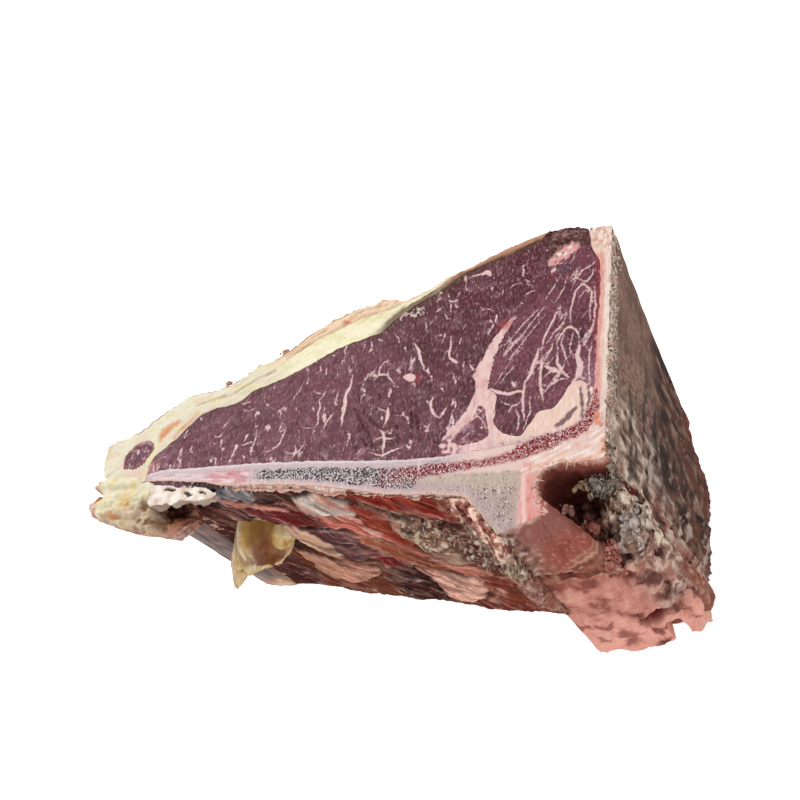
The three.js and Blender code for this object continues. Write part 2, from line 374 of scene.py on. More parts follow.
def block(name, chains, across, levels, painter, material, nodes=(), push=None, lift=None,
          reshape=None):
    # push gives how far each point moves outwards, and up; reshape gives new places
    base, triangles, extra = loft(chains, across, levels)
    x, y, z = base.T
    looks = painter(x, y, z, extra)
    dx, dy = wander(x, y, z)
    out, up = push(x, y, z, extra) if push else (0.0, 0.0)
    onTop = extra["top"]
    px = x + dx + extra["out"][:, 0] * out
    py = y + dy + extra["out"][:, 1] * out
    pz = z + onTop * (cutWave(x, y) * (levels[0] > length - 1) + up)
    pz = pz + (lift(x, z) if lift else 0.0)
    pz = np.where(z <= 0.01, 0.0, pz)
    if reshape:
        px, py, pz = reshape(px, py, pz)
    points = np.stack(shaped(px, py, pz), 1)
    makeMesh(name, points, triangles, looks, material, nodes)


def within(x, y, points):
    # whether each point is inside a closed outline: an odd number of its sides lie to the right
    odd = np.zeros(x.shape, bool)
    for (ax, ay), (bx, by) in zip(points, np.roll(points, -1, 0)):
        if ay != by:
            odd ^= ((ay > y) != (by > y)) & (x < (bx - ax) * (y - ay) / (by - ay) + ax)
    return odd


def pillow(name, spanX, spanZ, lid, depth, painter, material, nodes, grid, power=(4, 4), shear=0.0):
    # a lump under the line lid(x): its thickness is depth(x, z) times a blunt profile along x and along z
    n, m = grid
    u = np.sin(np.linspace(-1, 1, n) * np.pi / 2)
    v = np.sin(np.linspace(-1, 1, m) * np.pi / 2)
    u, v = (a.ravel() for a in np.meshgrid(u, v, indexing="ij"))
    x = (spanX[0] + spanX[1]) / 2 + u * (spanX[1] - spanX[0]) / 2
    z = (spanZ[0] + spanZ[1]) / 2 + v * (spanZ[1] - spanZ[0]) / 2
    x = x + shear * (z - (spanZ[0] + spanZ[1]) / 2)
    blunt = np.sqrt(np.maximum(0, (1 - np.abs(u)**power[0]) * (1 - np.abs(v)**power[1])))
    thick = np.maximum(0.05, depth(x, z)) * blunt
    fade = np.minimum(1, 2 * blunt)
    y = lid(x) - thick
    px = x + fade * 0.7 * noise(4, 3, x, y, z)
    py = y + fade * 0.3 * noise(2, 4, x, y, z)
    pz = np.maximum(0, z + fade * 0.9 * noise(5, 5, x, y, z))
    looks = painter(x, y, z)
    points = np.stack(shaped(px, py, pz), 1)
    ids = np.arange(n * m).reshape(n, m)
    under = quadTriangles(ids[:-1, :-1], ids[:-1, 1:], ids[1:, 1:], ids[1:, :-1])
    top = quadTriangles(ids[:-1, 0], ids[1:, 0], ids[1:, -1], ids[:-1, -1])
    fans = [np.stack([np.full(m - 2, ids[0, 0]), ids[0, 2:], ids[0, 1:-1]], 1),
            np.stack([np.full(m - 2, ids[-1, 0]), ids[-1, 1:-1], ids[-1, 2:]], 1)]
    triangles = np.concatenate([under, top] + fans)[:, ::-1]
    makeMesh(name, points, triangles, looks, material, nodes, 80)


# Shader nodes
class Nodes:
    # adds nodes to one tree; a value that is a socket is linked, any other is set
    def __init__(self, tree):
        self.tree = tree

    def add(self, kind, values=None, **settings):
        node = self.tree.nodes.new(kind)
        for key, value in settings.items():
            setattr(node, key, value)
        self.fill(node, values or {})
        return node

    def fill(self, node, values):
        for key, value in values.items():
            if isinstance(value, bpy.types.NodeSocket):
                self.tree.links.new(value, node.inputs[key])
            else:
                node.inputs[key].default_value = value

    def math(self, operation, a, b=0.0, c=0.0):
        return self.add("ShaderNodeMath", {0: a, 1: b, 2: c}, operation=operation).outputs[0]

    def times(self, a, b):
        return self.math("MULTIPLY", a, b)

    def minus(self, a, b):
        return self.math("SUBTRACT", a, b)

    def fused(self, a, b, c):
        return self.math("MULTIPLY_ADD", a, b, c)

    def vector(self, operation, a, b=(0, 0, 0)):
        return self.add("ShaderNodeVectorMath", {0: a, 1: b}, operation=operation).outputs[0]

    def scaled(self, a, factor):
        return self.add("ShaderNodeVectorMath", {0: a, "Scale": factor}, operation="SCALE").outputs[0]

    def mix(self, factor, a, b):
        return self.add("ShaderNodeMix", {0: factor, 6: a, 7: b}, data_type="RGBA").outputs[2]

    def ease(self, value, low, high):
        values = {"Value": value, "From Min": low, "From Max": high}
        return self.add("ShaderNodeMapRange", values, interpolation_type="SMOOTHSTEP").outputs[0]

    def noise(self, vector, size, detail=2.0, roughness=0.55):
        values = {"Vector": vector, "Scale": 1.0 / size, "Detail": detail, "Roughness": roughness}
        return self.add("ShaderNodeTexNoise", values)


def nodeGroup(name, inputs, outputs, build):
    # a group with a Vector and the given numbers as inputs
    tree = bpy.data.node_groups.new(name, "ShaderNodeTree")

    def socket(label, way):
        kind = "NodeSocketVector" if label == "Vector" else "NodeSocketFloat"
        return tree.interface.new_socket(label, in_out=way, socket_type=kind)

    socket("Vector", "INPUT")
    for label, value in inputs.items():
        socket(label, "INPUT").default_value = value
    for label in outputs:
        socket(label, "OUTPUT")
    kit = Nodes(tree)
    ins = tree.nodes.new("NodeGroupInput")
    outs = tree.nodes.new("NodeGroupOutput")
    kit.fill(outs, build(kit, ins.outputs))
    return tree


def buildBend(kit, given):
    # the point, moved by up to Amount in a smooth random direction that changes every Size
    size = kit.add("ShaderNodeCombineXYZ", {0: given["Size"], 1: given["Size"], 2: given["Size"]}).outputs[0]
    sized = kit.vector("DIVIDE", given["Vector"], size)
    away = kit.vector("SUBTRACT", kit.noise(sized, 1.0, 1.0).outputs["Color"], (0.5, 0.5, 0.5))
    return {"Vector": kit.vector("ADD", given["Vector"], kit.scaled(away, given["Amount"]))}


def buildFlecks(kit, given):
    # one fleck in a share of the cells of a stretched grid: 1 where the distance to the cell's point is under
    # a random radius
    cell = kit.add("ShaderNodeTexVoronoi", {"Vector": given["Vector"], "Scale": 1.0, "Randomness": 1.0})
    chance = kit.add("ShaderNodeSeparateColor", {0: cell.outputs["Color"]}).outputs[0]
    rest = kit.minus(1.0, given["Density"])
    radius = kit.times(kit.minus(chance, rest), 0.75)
    inside = kit.minus(kit.math("MINIMUM", radius, 0.3), cell.outputs["Distance"])
    return {"Mask": kit.ease(inside, -0.04, 0.12)}


def buildSpeckle(kit, given):
    # sponge of bone: dark where a noise is low and light where it is high, more of both with more density
    value = kit.noise(given["Vector"], 1.0, 2.0, 0.6).outputs[0]
    low = kit.fused(given["Density"], 0.2, 0.31)
    high = kit.fused(given["Density"], -0.16, 0.7)
    there = kit.ease(given["Density"], 0.02, 0.15)
    dark = kit.times(kit.ease(kit.minus(low, value), 0.0, 0.05), there)
    light = kit.times(kit.ease(kit.minus(value, high), 0.0, 0.05), there)
    return {"Dark": dark, "Light": light}


def buildRagged(kit, given):
    # 1 inside a painted area; noises of 1.1 and 0.4 mm move the edge by up to a third of Amount
    wave = kit.minus(kit.noise(given["Vector"], 1.1, 3.0, 0.7).outputs[0], 0.5)
    edge = kit.fused(wave, given["Amount"], given["Inside"])
    return {"Mask": kit.ease(edge, -0.14, 0.24)}


bendGroup = nodeGroup("bend", {"Size": 3, "Amount": 1}, ["Vector"], buildBend)
fleckGroup = nodeGroup("flecks", {"Density": 0.3}, ["Mask"], buildFlecks)
speckleGroup = nodeGroup("speckle", {"Density": 0.5}, ["Dark", "Light"], buildSpeckle)
raggedGroup = nodeGroup("ragged", {"Inside": 0, "Amount": 0.5}, ["Mask"], buildRagged)

plainTissue = {
    "fibre": (0.5, 3.0, 6.0),  # size of the fine streaks along x, y, z
    "fibreTone": 0.3,
    "grain": 0.7,
    "grainTone": 0.25,
    "bend": (4.0, 2.0),
    "poreSize": (0.5, 0.55, 0.9),
    "speckColour": (236, 226, 226),
    "fleckSize": (0.9, 2.6, 5.0),
    "fleckColour": (196, 152, 160),
    "haze": 0.0,  # how much of the fleck colour a fine noise adds
    "veinColour": (232, 196, 194),
    "veinRagged": 1.8,
    "roughness": 0.5,
    "wetRoughness": 0.22,
    "relief": 0.12,
    "poreDepth": 0.2,
    "veinRise": 0.08,
    "specular": 0.12,
    # painted sheen: lift is a flat grey added to a material without gloss, in place of the grey that gloss
    # adds on the fresh face
    "lift": 0.0,  # added to the colour of a surface without gloss
}


def newMaterial(name):
    material = bpy.data.materials.new(name)
    material.use_nodes = True
    return material, Nodes(material.node_tree), material.node_tree.nodes["Principled BSDF"]


def tissueMaterial(name, **changes):
    look = {**plainTissue, **changes}
    material, kit, shader = newMaterial(name)
    place = kit.scaled(kit.add("ShaderNodeTexCoord").outputs["Object"], 1 / millimetre)

    def read(key, output="Fac"):
        return kit.add("ShaderNodeAttribute", attribute_name=key).outputs[output]

    def group(tree, **values):
        return kit.add("ShaderNodeGroup", values, node_tree=tree).outputs

    def ink(key):
        node = kit.add("ShaderNodeRGB")
        node.outputs[0].default_value = (*rgb(*look[key]), 1)
        return node.outputs[0]

    bent = group(bendGroup, Vector=place, Size=look["bend"][0], Amount=look["bend"][1])[0]
    streaks = kit.noise(kit.vector("DIVIDE", bent, look["fibre"]), 1.0, 3.0, 0.6).outputs[0]
    grain = kit.noise(place, look["grain"], 4.0, 0.65).outputs[0]
    tone = kit.fused(kit.minus(streaks, 0.5), look["fibreTone"] * 2, 1.0)
    tone = kit.fused(kit.minus(grain, 0.5), look["grainTone"] * 2, tone)
    colour = kit.scaled(read("paint", "Color"), kit.math("MAXIMUM", tone, 0.25))
    pored = kit.vector("DIVIDE", bent, look["poreSize"])
    specks = group(speckleGroup, Vector=pored, Density=read("pore"))
    colour = kit.mix(specks["Dark"], colour, read("deep", "Color"))
    colour = kit.mix(kit.times(specks["Light"], 0.85), colour, ink("speckColour"))
    share = read("fleck")
    stretched = kit.vector("DIVIDE", bent, look["fleckSize"])
    flecks = group(fleckGroup, Vector=stretched, Density=share)[0]
    mist = kit.ease(kit.noise(stretched, 0.8, 3.0, 0.65).outputs[0], 0.5, 0.72)
    mist = kit.times(mist, kit.times(share, look["haze"]))
    pale = kit.math("MAXIMUM", kit.times(flecks, 0.75), mist)
    colour = kit.mix(pale, colour, ink("fleckColour"))
    veins = group(raggedGroup, Vector=place, Inside=read("vein"), Amount=look["veinRagged"])[0]
    veinTone = kit.scaled(ink("veinColour"), kit.fused(grain, 0.7, 0.62))
    colour = kit.mix(kit.times(veins, 0.94), colour, veinTone)
    # painted sheen: a flat grey in place of the missing gloss
    colour = kit.vector("ADD", colour, (look["lift"],) * 3)
    dry = kit.fused(kit.minus(grain, 0.5), 0.25, look["roughness"])
    rough = kit.fused(kit.minus(look["wetRoughness"], dry), read("wet"), dry)
    height = kit.times(streaks, look["relief"] * 0.6)
    height = kit.fused(grain, look["relief"], height)
    height = kit.fused(specks["Dark"], -look["poreDepth"], height)
    height = kit.fused(veins, look["veinRise"], height)
    raised = kit.add("ShaderNodeBump", {"Height": height, "Distance": millimetre, "Strength": 1})
    kit.fill(shader, {"Base Color": colour, "Roughness": rough, "Normal": raised.outputs[0],
                      "Specular IOR Level": look["specular"]})
    return material


leanMaterial = tissueMaterial(
    "lean", fibre=(0.9, 0.9, 5), fibreTone=1.1, grain=0.9, grainTone=1, haze=1, relief=0.14, roughness=0.46,
    veinRagged=1.15, veinColour=(236, 202, 198))
fatMaterial = tissueMaterial(
    "fat", fibre=(5, 0.7, 6), fibreTone=0.12, grain=1.4, grainTone=0.16, relief=0.16,
    veinColour=(222, 150, 96))
seamMaterial = tissueMaterial(
    "seamFat", fibre=(0.45, 3, 5), fibreTone=0.26, grain=0.8, grainTone=0.2, relief=0.14, roughness=0.48,
    veinColour=(112, 74, 84))
boneMaterial = tissueMaterial(
    "bone", fibre=(0.32, 4, 6), fibreTone=0.26, grain=0.6, grainTone=0.22, relief=0.16, roughness=0.55,
    veinColour=(242, 226, 220), bend=(5, 0.8), specular=0, lift=0.012)
crustMaterial = tissueMaterial(
    "crust", fibre=(3, 1.2, 5), fibreTone=0.45, grain=0.8, grainTone=0.55, relief=0.4,
    poreSize=(0.9, 0.9, 1.4), bend=(6, 4), specular=0, lift=0.008)
shredMaterial = tissueMaterial("shreds", fibre=(0.6, 0.6, 1), grain=0.5, grainTone=0.3, relief=0.1)
print("materials made")

# Edges on the fresh face, left to right or from the bone upwards
capOuter = curve([
    (-124, -15), (-126.3, -12), (-128, -9), (-128.5, -4), (-128, 2), (-120, 5), (-112, 9.5), (-104, 15.5),
    (-100, 17.5), (-96.5, 20.5), (-90, 21.8), (-80, 23), (-72, 26), (-65, 31), (-58, 33), (-50, 38),
    (-40, 44.5), (-30, 49.5), (-20, 52), (-10, 53.3), (-6, 51.8), (2, 54), (10, 58.5), (20, 62), (30, 66),
    (40, 70), (46, 71.8), (50, 72.5),
])
capInner = curve([
    (-106, -9), (-104, -5), (-100, -1.5), (-95, 2.5), (-91, 7), (-87, 11), (-82, 13.3), (-76, 14.3),
    (-71, 15), (-68, 16.5), (-65, 19.5), (-58, 21.7), (-50, 24.5), (-42, 28), (-35, 31.5), (-28, 34.7),
    (-20, 36.7), (-13, 38.3), (-10, 41), (-4, 46), (2, 49.5), (9, 53), (15, 57), (20, 60), (28, 62.5),
    (36, 65), (42, 67.5), (47, 69),
])
capEnd = curve([(47, 69), (50, 72.5)])
capFoot = curve([(-124, -15), (-116, -16), (-106, -15), (-105.3, -12.5), (-106, -9)])
loinTail = curve([(-105.3, -12.5), (-106, -9)])
seamLeft = curve([
    (16, -14), (16.6, -9), (18, -5.5), (24.3, 2), (27, 11), (25.8, 16), (29, 23), (31, 28), (38.5, 38.5),
    (49, 52), (50, 57),
])
seamRight = curve([
    (31.6, 10), (32, 15), (33.2, 22), (34.9, 28), (37.3, 33.5), (46.3, 45), (51, 52), (50, 57),
])
lobes = curve([
    (31.6, 10), (35, 6.5), (34.3, 1), (35.5, -4.5), (39.5, -8), (44.5, -8.6), (47.5, -4.5), (50.5, -0.5),
    (54.5, 0), (57.5, 3.5), (60, 8), (63, 9.2), (67.8, 6),
])
deepRim = [
    (20.3, -8), (23.5, -4.5), (27, -1.5), (29.4, 3.5), (31, 1.5), (32, -3), (33, -7.8), (28, -9.8),
    (22.5, -10), (20.3, -8),
]
flankRim = [
    (-118, -9), (-118.7, -5), (-116, -0.5), (-112, 2), (-107.5, 2), (-105.6, -0.5), (-107, -4.5),
    (-109.5, -7.5), (-113, -9), (-118, -9),
]
loinFoot = curve([
    (-105.3, -12.5), (-100, -11), (-84, -11), (-55, -11.2), (-25, -12.4), (-10, -13.6), (4, -14.2),
    (16, -14),
])
archTop = curve([(16, -14), (40, -12), (50, -10.5), (58, -8.3), (64, -5), (67, -0.5), (67.8, 6)])
spineInner = curve([(67.8, 6), (68, 15), (68.3, 30), (68.6, 45), (68.2, 55), (66.3, 60), (64.6, 64)])
spineInnerTip = curve([(64.6, 64), (64, 69.5)])
spineTip = curve([(64, 69.5), (68, 70.4), (72, 70)])
sawnSide = curve([(72, -12.5), (72, 70)])
canalOpen = curve([
    (55, -35.8), (52, -31), (50.7, -25.5), (52.5, -21.5), (57, -19.6), (64, -19.3), (71.5, -18.5),
    (72, -12.5),
])
canalClosed = curve([(71.6, -33), (71.9, -25), (72, -12.5)])
bevelOpen = curve([(39, -42.2), (47, -39), (55, -35.8)])
bevelShut = curve([(39, -42.2), (50, -41.3), (62, -37.3), (71.6, -33)])
boneFoot = curve([
    (-106, -15), (-98, -15.3), (-78, -17.3), (-70, -18.8), (-40, -20.5), (-20, -23.2), (0, -26.4),
    (20, -28), (27.5, -29.5), (31.5, -33.5), (35.5, -38.3), (39, -42.2),
])
boneTail = curve([(-105.3, -12.5), (-106, -15)])
tipTop = curve([(50, 72.5), (57, 72.8), (62, 71.5), (64, 69.5)])
tipLeft = curve([(50, 57), (48.6, 60.5), (49.3, 65), (47, 69)])
tipFoot = curve([(50, 57), (53, 55.5), (56.5, 58.5), (60, 62), (64.6, 64)])


# Loin eye
loinVeins = {
    0.85: [[(-22, 19.8), (-21.8, 17.5), (-23.3, 13), (-22.8, 9), (-23.2, 5), (-22.6, 1.3)]],
    0.45: [[(-34.5, 0.3), (-33, 3), (-33.5, 7), (-33, 10), (-34, 12.5), (-32.3, 14.5), (-32, 16.3)],
        [(-41, -5), (-40.3, -8), (-41, -10)],
        [(-10, -10.2), (-7, -11.5), (-4.5, -12), (-1.5, -10.5), (2.8, -9.5)],
        [(-7, 25.8), (-10, 25), (-11, 22), (-10.5, 20.5), (-8, 20), (-5.5, 17.5), (-3.3, 14.5)],
        [(32.2, 39.9), (32.1, 36.2)], [(12.8, 49), (15, 47.5), (17.2, 48.2)], [(14, 12.5), (15.5, 10.6)]],
    0.32: [[(-32.3, 14.8), (-35, 15.5), (-38, 17)], [(-59, -2), (-62, -2.8), (-64.5, -3.2)],
        [(-2.2, 3), (1, 2.8), (3, 1.5), (3.6, -1.2)]],
    0.3: [[(-34.5, 1), (-38, 1.5), (-40, 2.4)], [(-11.5, 7.2), (-11.6, 4.6)],
        [(25, 40.3), (26.5, 42), (28.5, 42.4), (30.5, 41.5), (31.7, 39.8)], [(16, 49), (17.3, 51.6)],
        [(12.2, 51.7), (13.3, 49.5)], [(-67.3, 12.2), (-65, 11.3), (-63, 11.5), (-60.8, 12.4)],
        [(-42.5, 21), (-44, 17), (-46, 13)], [(-19, 36), (-18.7, 32)], [(-23.5, 30), (-22.6, 27)],
        [(-29, 25), (-28.2, 22)], [(36, 50), (38, 51), (40.5, 51.5)], [(33.5, 47.5), (34, 49.5)],
        [(22, 8), (25, 7.6)]],
    0.5: [[(-30, 0), (-29, 3.5), (-26.5, 7)], [(15.8, 33), (16, 29), (15.6, 25), (17, 23.3), (19.7, 21.3)],
        [(-66, 14.8), (-68, 14.2)], [(-63, -7.4), (-61.3, -8.7)], [(24, 20.5), (25.2, 18.4), (26.5, 17.5)],
        [(15.5, -9.5), (17.5, -11.6), (20.8, -12)]],
    0.42: [[(-46.2, 3), (-46.8, 0), (-48, -4), (-50, -6), (-53, -7)], [(-58.8, 3), (-58.6, 0), (-59, -4.8)],
        [(-57.8, 13.7), (-55.3, 12.1)]],
    0.4: [[(-45.5, -7), (-41, -8.3), (-38.5, -7), (-37, -3)], [(-9.5, 6.7), (-6, 5)],
        [(8.6, 8.2), (11, 6.5)], [(-10.5, 20.5), (-13, 18.3)], [(20, 57.5), (25, 57.8)],
        [(-78, 2.6), (-76.7, 1), (-74.6, 2), (-74, 3)], [(42, 45.5), (44, 47.2), (46.5, 47.4)]],
    0.75: [[(-5.3, 6.8), (-5, 3), (-5.6, 0.2)]],
    0.65: [[(-7.8, -2), (-6, -3), (-5, -6), (-4.8, -10.5), (-4.5, -12.2)],
        [(15, 0.3), (16, 2.4), (17.3, 4.2)]],
    0.38: [[(-9.3, -6.2), (-6.5, -5), (-4, -5.8), (-0.3, -5.7)],
        [(12.3, 42.8), (13.5, 40.8), (15.4, 40.2)]],
    0.7: [[(1.2, 32), (3.8, 29), (4.6, 25.5), (6.4, 21.6)], [(16.2, 24.2), (18, 22.6), (19.6, 21.3)]],
    0.35: [[(-7.8, 38), (-5.5, 35.5), (-4.6, 32.8)], [(7.5, 19.8), (9.5, 18), (10.7, 15.8)],
        [(-37, 28.5), (-36, 25.5), (-38, 24)], [(-34, 26.5), (-33, 23)], [(-16, 35.5), (-15.4, 31.8)],
        [(18.3, 17.5), (19.6, 13.5)]],
    0.34: [[(4.8, 41.5), (5.5, 38), (6.2, 35.5)]],
    0.28: [[(15.8, 27.5), (14, 26), (13.8, 23.5)]],
    0.6: [[(11.7, 9.2), (11, 6.5), (12, 3.5), (14, 1), (15.3, 0.4)]],
    1.7: [[(-0.2, 18.6), (3.6, 17.4)]],
    1: [[(24.6, 58), (27, 58.3), (28.8, 56.8)]],
    0.9: [[(-66.8, -2.8), (-66.4, -4.8)]],
    0.55: [[(-77, -8.1), (-75.8, -9.6)]],
}
# the cracks are sunk a little in pushLoin and painted dark: painted shade in the cracks
loinFibres = {  # dark cracks between the fibres
    0.32: [[(-19, 8.5), (-16.5, 4), (-13.5, -1), (-11, -4.5)]],
    0.36: [[(-13, 5), (-10, 1), (-7.2, -1)], [(-16, 0.5), (-13.5, -4.5), (-11.5, -8)]],
    0.3: [[(-20.5, -1.5), (-17, -5.5), (-14.3, -9.5)], [(-18.5, -3.8), (-16, -7.5), (-14.8, -10)],
        [(6, 3), (7.5, -2), (8.6, -7.5)]],
    0.25: [[(-12, -4), (-9, -8.5), (-6.3, -10)], [(4, 4), (5.2, -1), (5.6, -6)], [(24.5, 0), (22, -3.5)]],
    0.22: [[(-5, 7), (-3.2, 4)], [(9.5, 16), (11, 12.5)], [(-9.5, 12.5), (-8.2, 8.5)]],
    0.24: [[(-19, 14), (-16, 9), (-14, 5)]],
    0.2: [[(-2, 1), (0, -4), (1, -9)]],
}
loinLook = {
    "left": (116, 74, 84),
    "middle": (114, 70, 80),
    "right": (98, 57, 66),
    "dark": (80, 42, 51),
    "haze": (170, 132, 142),
    "brown": (92, 66, 58),
    "blush": (166, 72, 72),
    "crackDepth": 0.3,
}


def leanTones(x, y, look, seed):
    # base colour from left to right, mottled: darker where two noises are low
    colour = layered(look["left"], [
        (look["middle"], ease(-75, -25, x)),
        (look["right"], ease(-12, 28, x + 0.5 * y)),
    ])
    broad = fbm(11, seed, x, y)
    fine = noise((1.6, 3.4), seed + 5, x, y)
    return over(colour, look["dark"], np.clip(0.2 + 0.55 * broad + 0.4 * fine, 0, 0.8))


def veinlets(x, y, size, half, share, seed):
    # how far inside short wavy lines each point is: where one noise is zero, kept where another is high
    wave = np.abs(noise(size, seed, x, y)) * 0.6 * size[0]
    kept = ease(share, share + 0.3, noise((1.5 * size[0], 1.2 * size[1]), seed + 1, x, y))
    return np.maximum(half - wave, -1) - 1.2 * (1 - kept)


def paintLoin(x, y, z, extra):
    look = loinLook
    colour = leanTones(x, y, look, 31)
    fibres = noise(1.1, 41, x * 0.9 + y * 0.45, (y * 0.9 - x * 0.45) / 5)
    fibreZone = ease(-26, -17, x) * ease(13, 4, x) * ease(16, 4, y)
    cracks = lineDistance(x, y, loinFibres)
    haze = ease(0.1, 0.6, fbm(5, 51, x, y)) * (0.18 + 0.5 * ease(-7, -11, y) * ease(24, -20, x))
    haze = haze + 0.6 * ease(-90, -103, x) * ease(-0.3, 0.4, noise(3, 52, x, y))
    rind = distanceTo(x, y, capInner, 160)
    edge = ease(3.4, 0.4, rind + 0.6 * noise(2, 53, x, y))
    tail = spot(x, y, -104.5, -9, 4, 5)
    colour = layered(colour, [
        (look["dark"], fibreZone * ease(0, 0.6, -fibres) * 0.8),
        # painted shade in the sunk cracks between the fibres
        ((60, 22, 30), ease(-0.3, 0.1, cracks) * 0.65),
        (look["haze"], np.clip(haze, 0, 0.75)),
        (look["brown"], edge * (0.3 + 0.55 * ease(-16, -2, x))),
        ((186, 122, 122), 0.8 * tail),
        (look["blush"], 0.6 * spot(x, y, 4.3, 17.4, 2.8, 2.8)),
        (look["blush"], 0.6 * spot(x, y, 35.5, 34.5, 4.5, 4.5)),
    ])
    fleck = 0.45 + 0.3 * fbm(9, 61, x, y, 0, 2) + 0.2 * ease(-4, -10, y) + 0.12 * ease(5, 30, x)
    small = veinlets(x, y, (2.4, 5.0), 0.22, 0.14, 62)
    small = np.maximum(small, veinlets(x, y, (4.5, 1.8), 0.2, 0.3, 64) - 0.05)
    veins = np.maximum(lineDistance(x, y, loinVeins) - 0.06, small)
    return {
        "paint": colour,
        "vein": np.where(extra["top"] > 0.5, veins, -4),
        "fleck": np.clip(fleck, 0.2, 0.9) * extra["top"],
        "wet": 0.25 + 0.5 * ease(-0.1, 0.5, fbm(7, 71, x, y, 0, 2)),
    }


def pushLoin(x, y, z, extra):
    cracks = ease(-0.35, 0.2, lineDistance(x, y, loinFibres))
    rough = 0.1 * noise((0.9, 2.2), 42, x, y)
    return 0.0, rough - loinLook["crackDepth"] * cracks


coarseLevels = np.array([120, 119, 117, 110, 90, 60, 30, 0.0])
loinChains = ladder(
    joined(loinFoot, seamLeft), joined(loinTail, capInner, back(tipLeft)),
    [
        (-105.3, -12.5, -106, -9), (-100, -11, -104, -5), (-84, -11, -87, 11), (-55, -11.2, -65, 19.5),
        (-25, -12.4, -42, 28), (4, -14.2, -20, 36.7), (16, -14, -10, 41), (24.3, 2, 2, 49.5),
        (31, 28, 20, 60), (49, 52, 42, 67.5), (50, 57, 50, 57),
    ], 0.5)
block("loinEye", loinChains, 128, coarseLevels, paintLoin, leanMaterial, ["loin_eye"], pushLoin)
print("loin eye done")

# Fat cap
fatLook = {
    "cream": (231, 222, 200),
    "inner": (224, 210, 188),
    "ivory": (246, 238, 206),
    "outer": (240, 211, 180),
    "yellow": (232, 222, 176),
    "rind": (182, 140, 116),
    "rindPink": (222, 158, 134),
    "rindDark": (112, 84, 68),
    "orange": (216, 138, 88),
    "pinkish": (228, 196, 182),
}
fatStreaks = {
    1.1: [[(-103.5, 2), (-101.5, 6), (-99, 8), (-96, 9.5)]],
    0.6: [[(-104, 3.5), (-102.5, 7)]],
    0.4: [[(-88, 12.4), (-93, 7.4), (-97, 2.5)]],
}
fatCreases = {
    0.35: [[(-52, 32.6), (-42, 38), (-32, 43), (-22, 46.5), (-13, 48.2), (-6, 50)]],
    0.3: [[(-90, 16), (-82, 18), (-74, 19.4), (-66, 23.6), (-56, 28)],
        [(-27, 47.6), (-20, 49.8), (-12, 50.8)]],
    0.25: [[(-60, 30.6), (-50, 35.4), (-42, 40.4), (-36, 43.5)]],
}


def paintFatCap(x, y, z, extra):
    look = fatLook
    t = extra["t"]
    outer = ease(0.56, 0.66, t + 0.06 * noise(5, 82, x, y)) * ease(-66, -48, x)
    orange = ease(0.15, 0.6, fbm((6, 3), 78, x, y - 0.6 * x)) * outer
    pale = ease(-14, -16, y) * 0.5 + 0.7 * spot(x, y, -112, -11.5, 10, 3.5)
    crease = ease(-0.5, 0.3, lineDistance(x, y, fatCreases) + 0.3 * noise(1.2, 77, x, y))
    streak = ease(-1.3, 0.7, lineDistance(x, y, fatStreaks) + 0.6 * noise(1.5, 84, x, y))
    red = spot(x, y, -28.5, 45.4, 3, 1.8, 0.4 * noise(1.2, 85, x, y))
    rim = ease(0.1, 0.0, t) * ease(-60, -75, x) * ease(0, 6, y)
    rind = ease(6, 14, x + 3 * noise(4, 86, x, y, z) - 7 * (t - 0.4))
    brown = over(look["rind"], look["rindPink"], bump(0.55, 0.42, t + 0.1 * noise(4, 76, x, y)) * 0.9)
    dark = ease(0.3, 0.06, t) + 0.5 * ease(0, 0.7, fbm(3, 87, x, y, z, 2))
    brown = over(brown, look["rindDark"], np.clip(dark, 0, 0.85))
    width = np.interp(x, [-20, -12, 0, 12], [0.06, 0.16, 0.34, 0.5])
    inner = ease(-20, -10, x) * ease(width + 0.1, width - 0.06, t + 0.05 * noise(2, 75, x, y))
    depth = ease(0.5, 3, length - z) * ease(0.9, 1, t)
    stain = fbm((26, 26, 34), 88, x, y, z, 5)
    skin = over((222, 202, 164), (204, 164, 112), ease(-0.1, 0.7, stain) * 0.8)
    skin = over(skin, (158, 112, 82), ease(0.25, 0.9, stain + 0.3 * fbm(7, 89, x, y, z, 4)) * 0.7)
    skin = over(skin, (238, 226, 200), ease(0.1, 0.6, -stain) * 0.6)
    skin = over(skin, (96, 62, 48), ease(-5, 25, x) * 0.7)
    foot = ease(-9, -13, y) * ease(112, 100, z)
    far = ease(15, 3, z + 5 * noise(6, 99, x, y, z))
    under = over((70, 44, 44), (116, 74, 64), ease(-0.1, 0.5, fbm((5, 3, 9), 98, x, y, z)))
    film = over((168, 118, 92), (214, 178, 146), ease(-0.1, 0.5, fbm((9, 3, 8), 74, x, y, z, 4)))
    colour = layered(look["cream"], [
        (look["inner"], ease(0.5, 0.15, t + 0.08 * noise(6, 80, x, y)) * 0.7),
        (look["ivory"], ease(-62, -40, x) * 0.9),
        (look["yellow"], 0.7 * ease(-0.1, 0.5, fbm((14, 4, 8), 81, x, y, z))),
        (look["pinkish"], 0.5 * ease(0.2, 0.6, fbm((9, 5, 8), 79, x, y, z)) * ease(-50, -70, x)),
        (look["outer"], outer),
        ((226, 160, 124), orange * 0.6),
        ((206, 176, 140), 0.55 * spot(x, y, -128.6, 1, 4, 9)),
        (look["pinkish"], np.clip(pale, 0, 0.9)),
        # painted shade: darker along the creases, which pushFatCap sinks
        ((196, 172, 132), crease * 0.65),
        (look["orange"], streak * 0.85),
        ((206, 112, 90), red * 0.85),
        ((206, 190, 178), rim * 0.6),
        (0.94 * brown, rind),
        ((118, 98, 78), inner * 0.9 * (1 - 0.6 * rind)),
        (onWall(skin), depth),
        (onWall(over(under, film, far)), foot * 0.95),
    ])
    return {"paint": colour, "wet": 0.25 + 0.2 * depth, "fleck": 0.0}


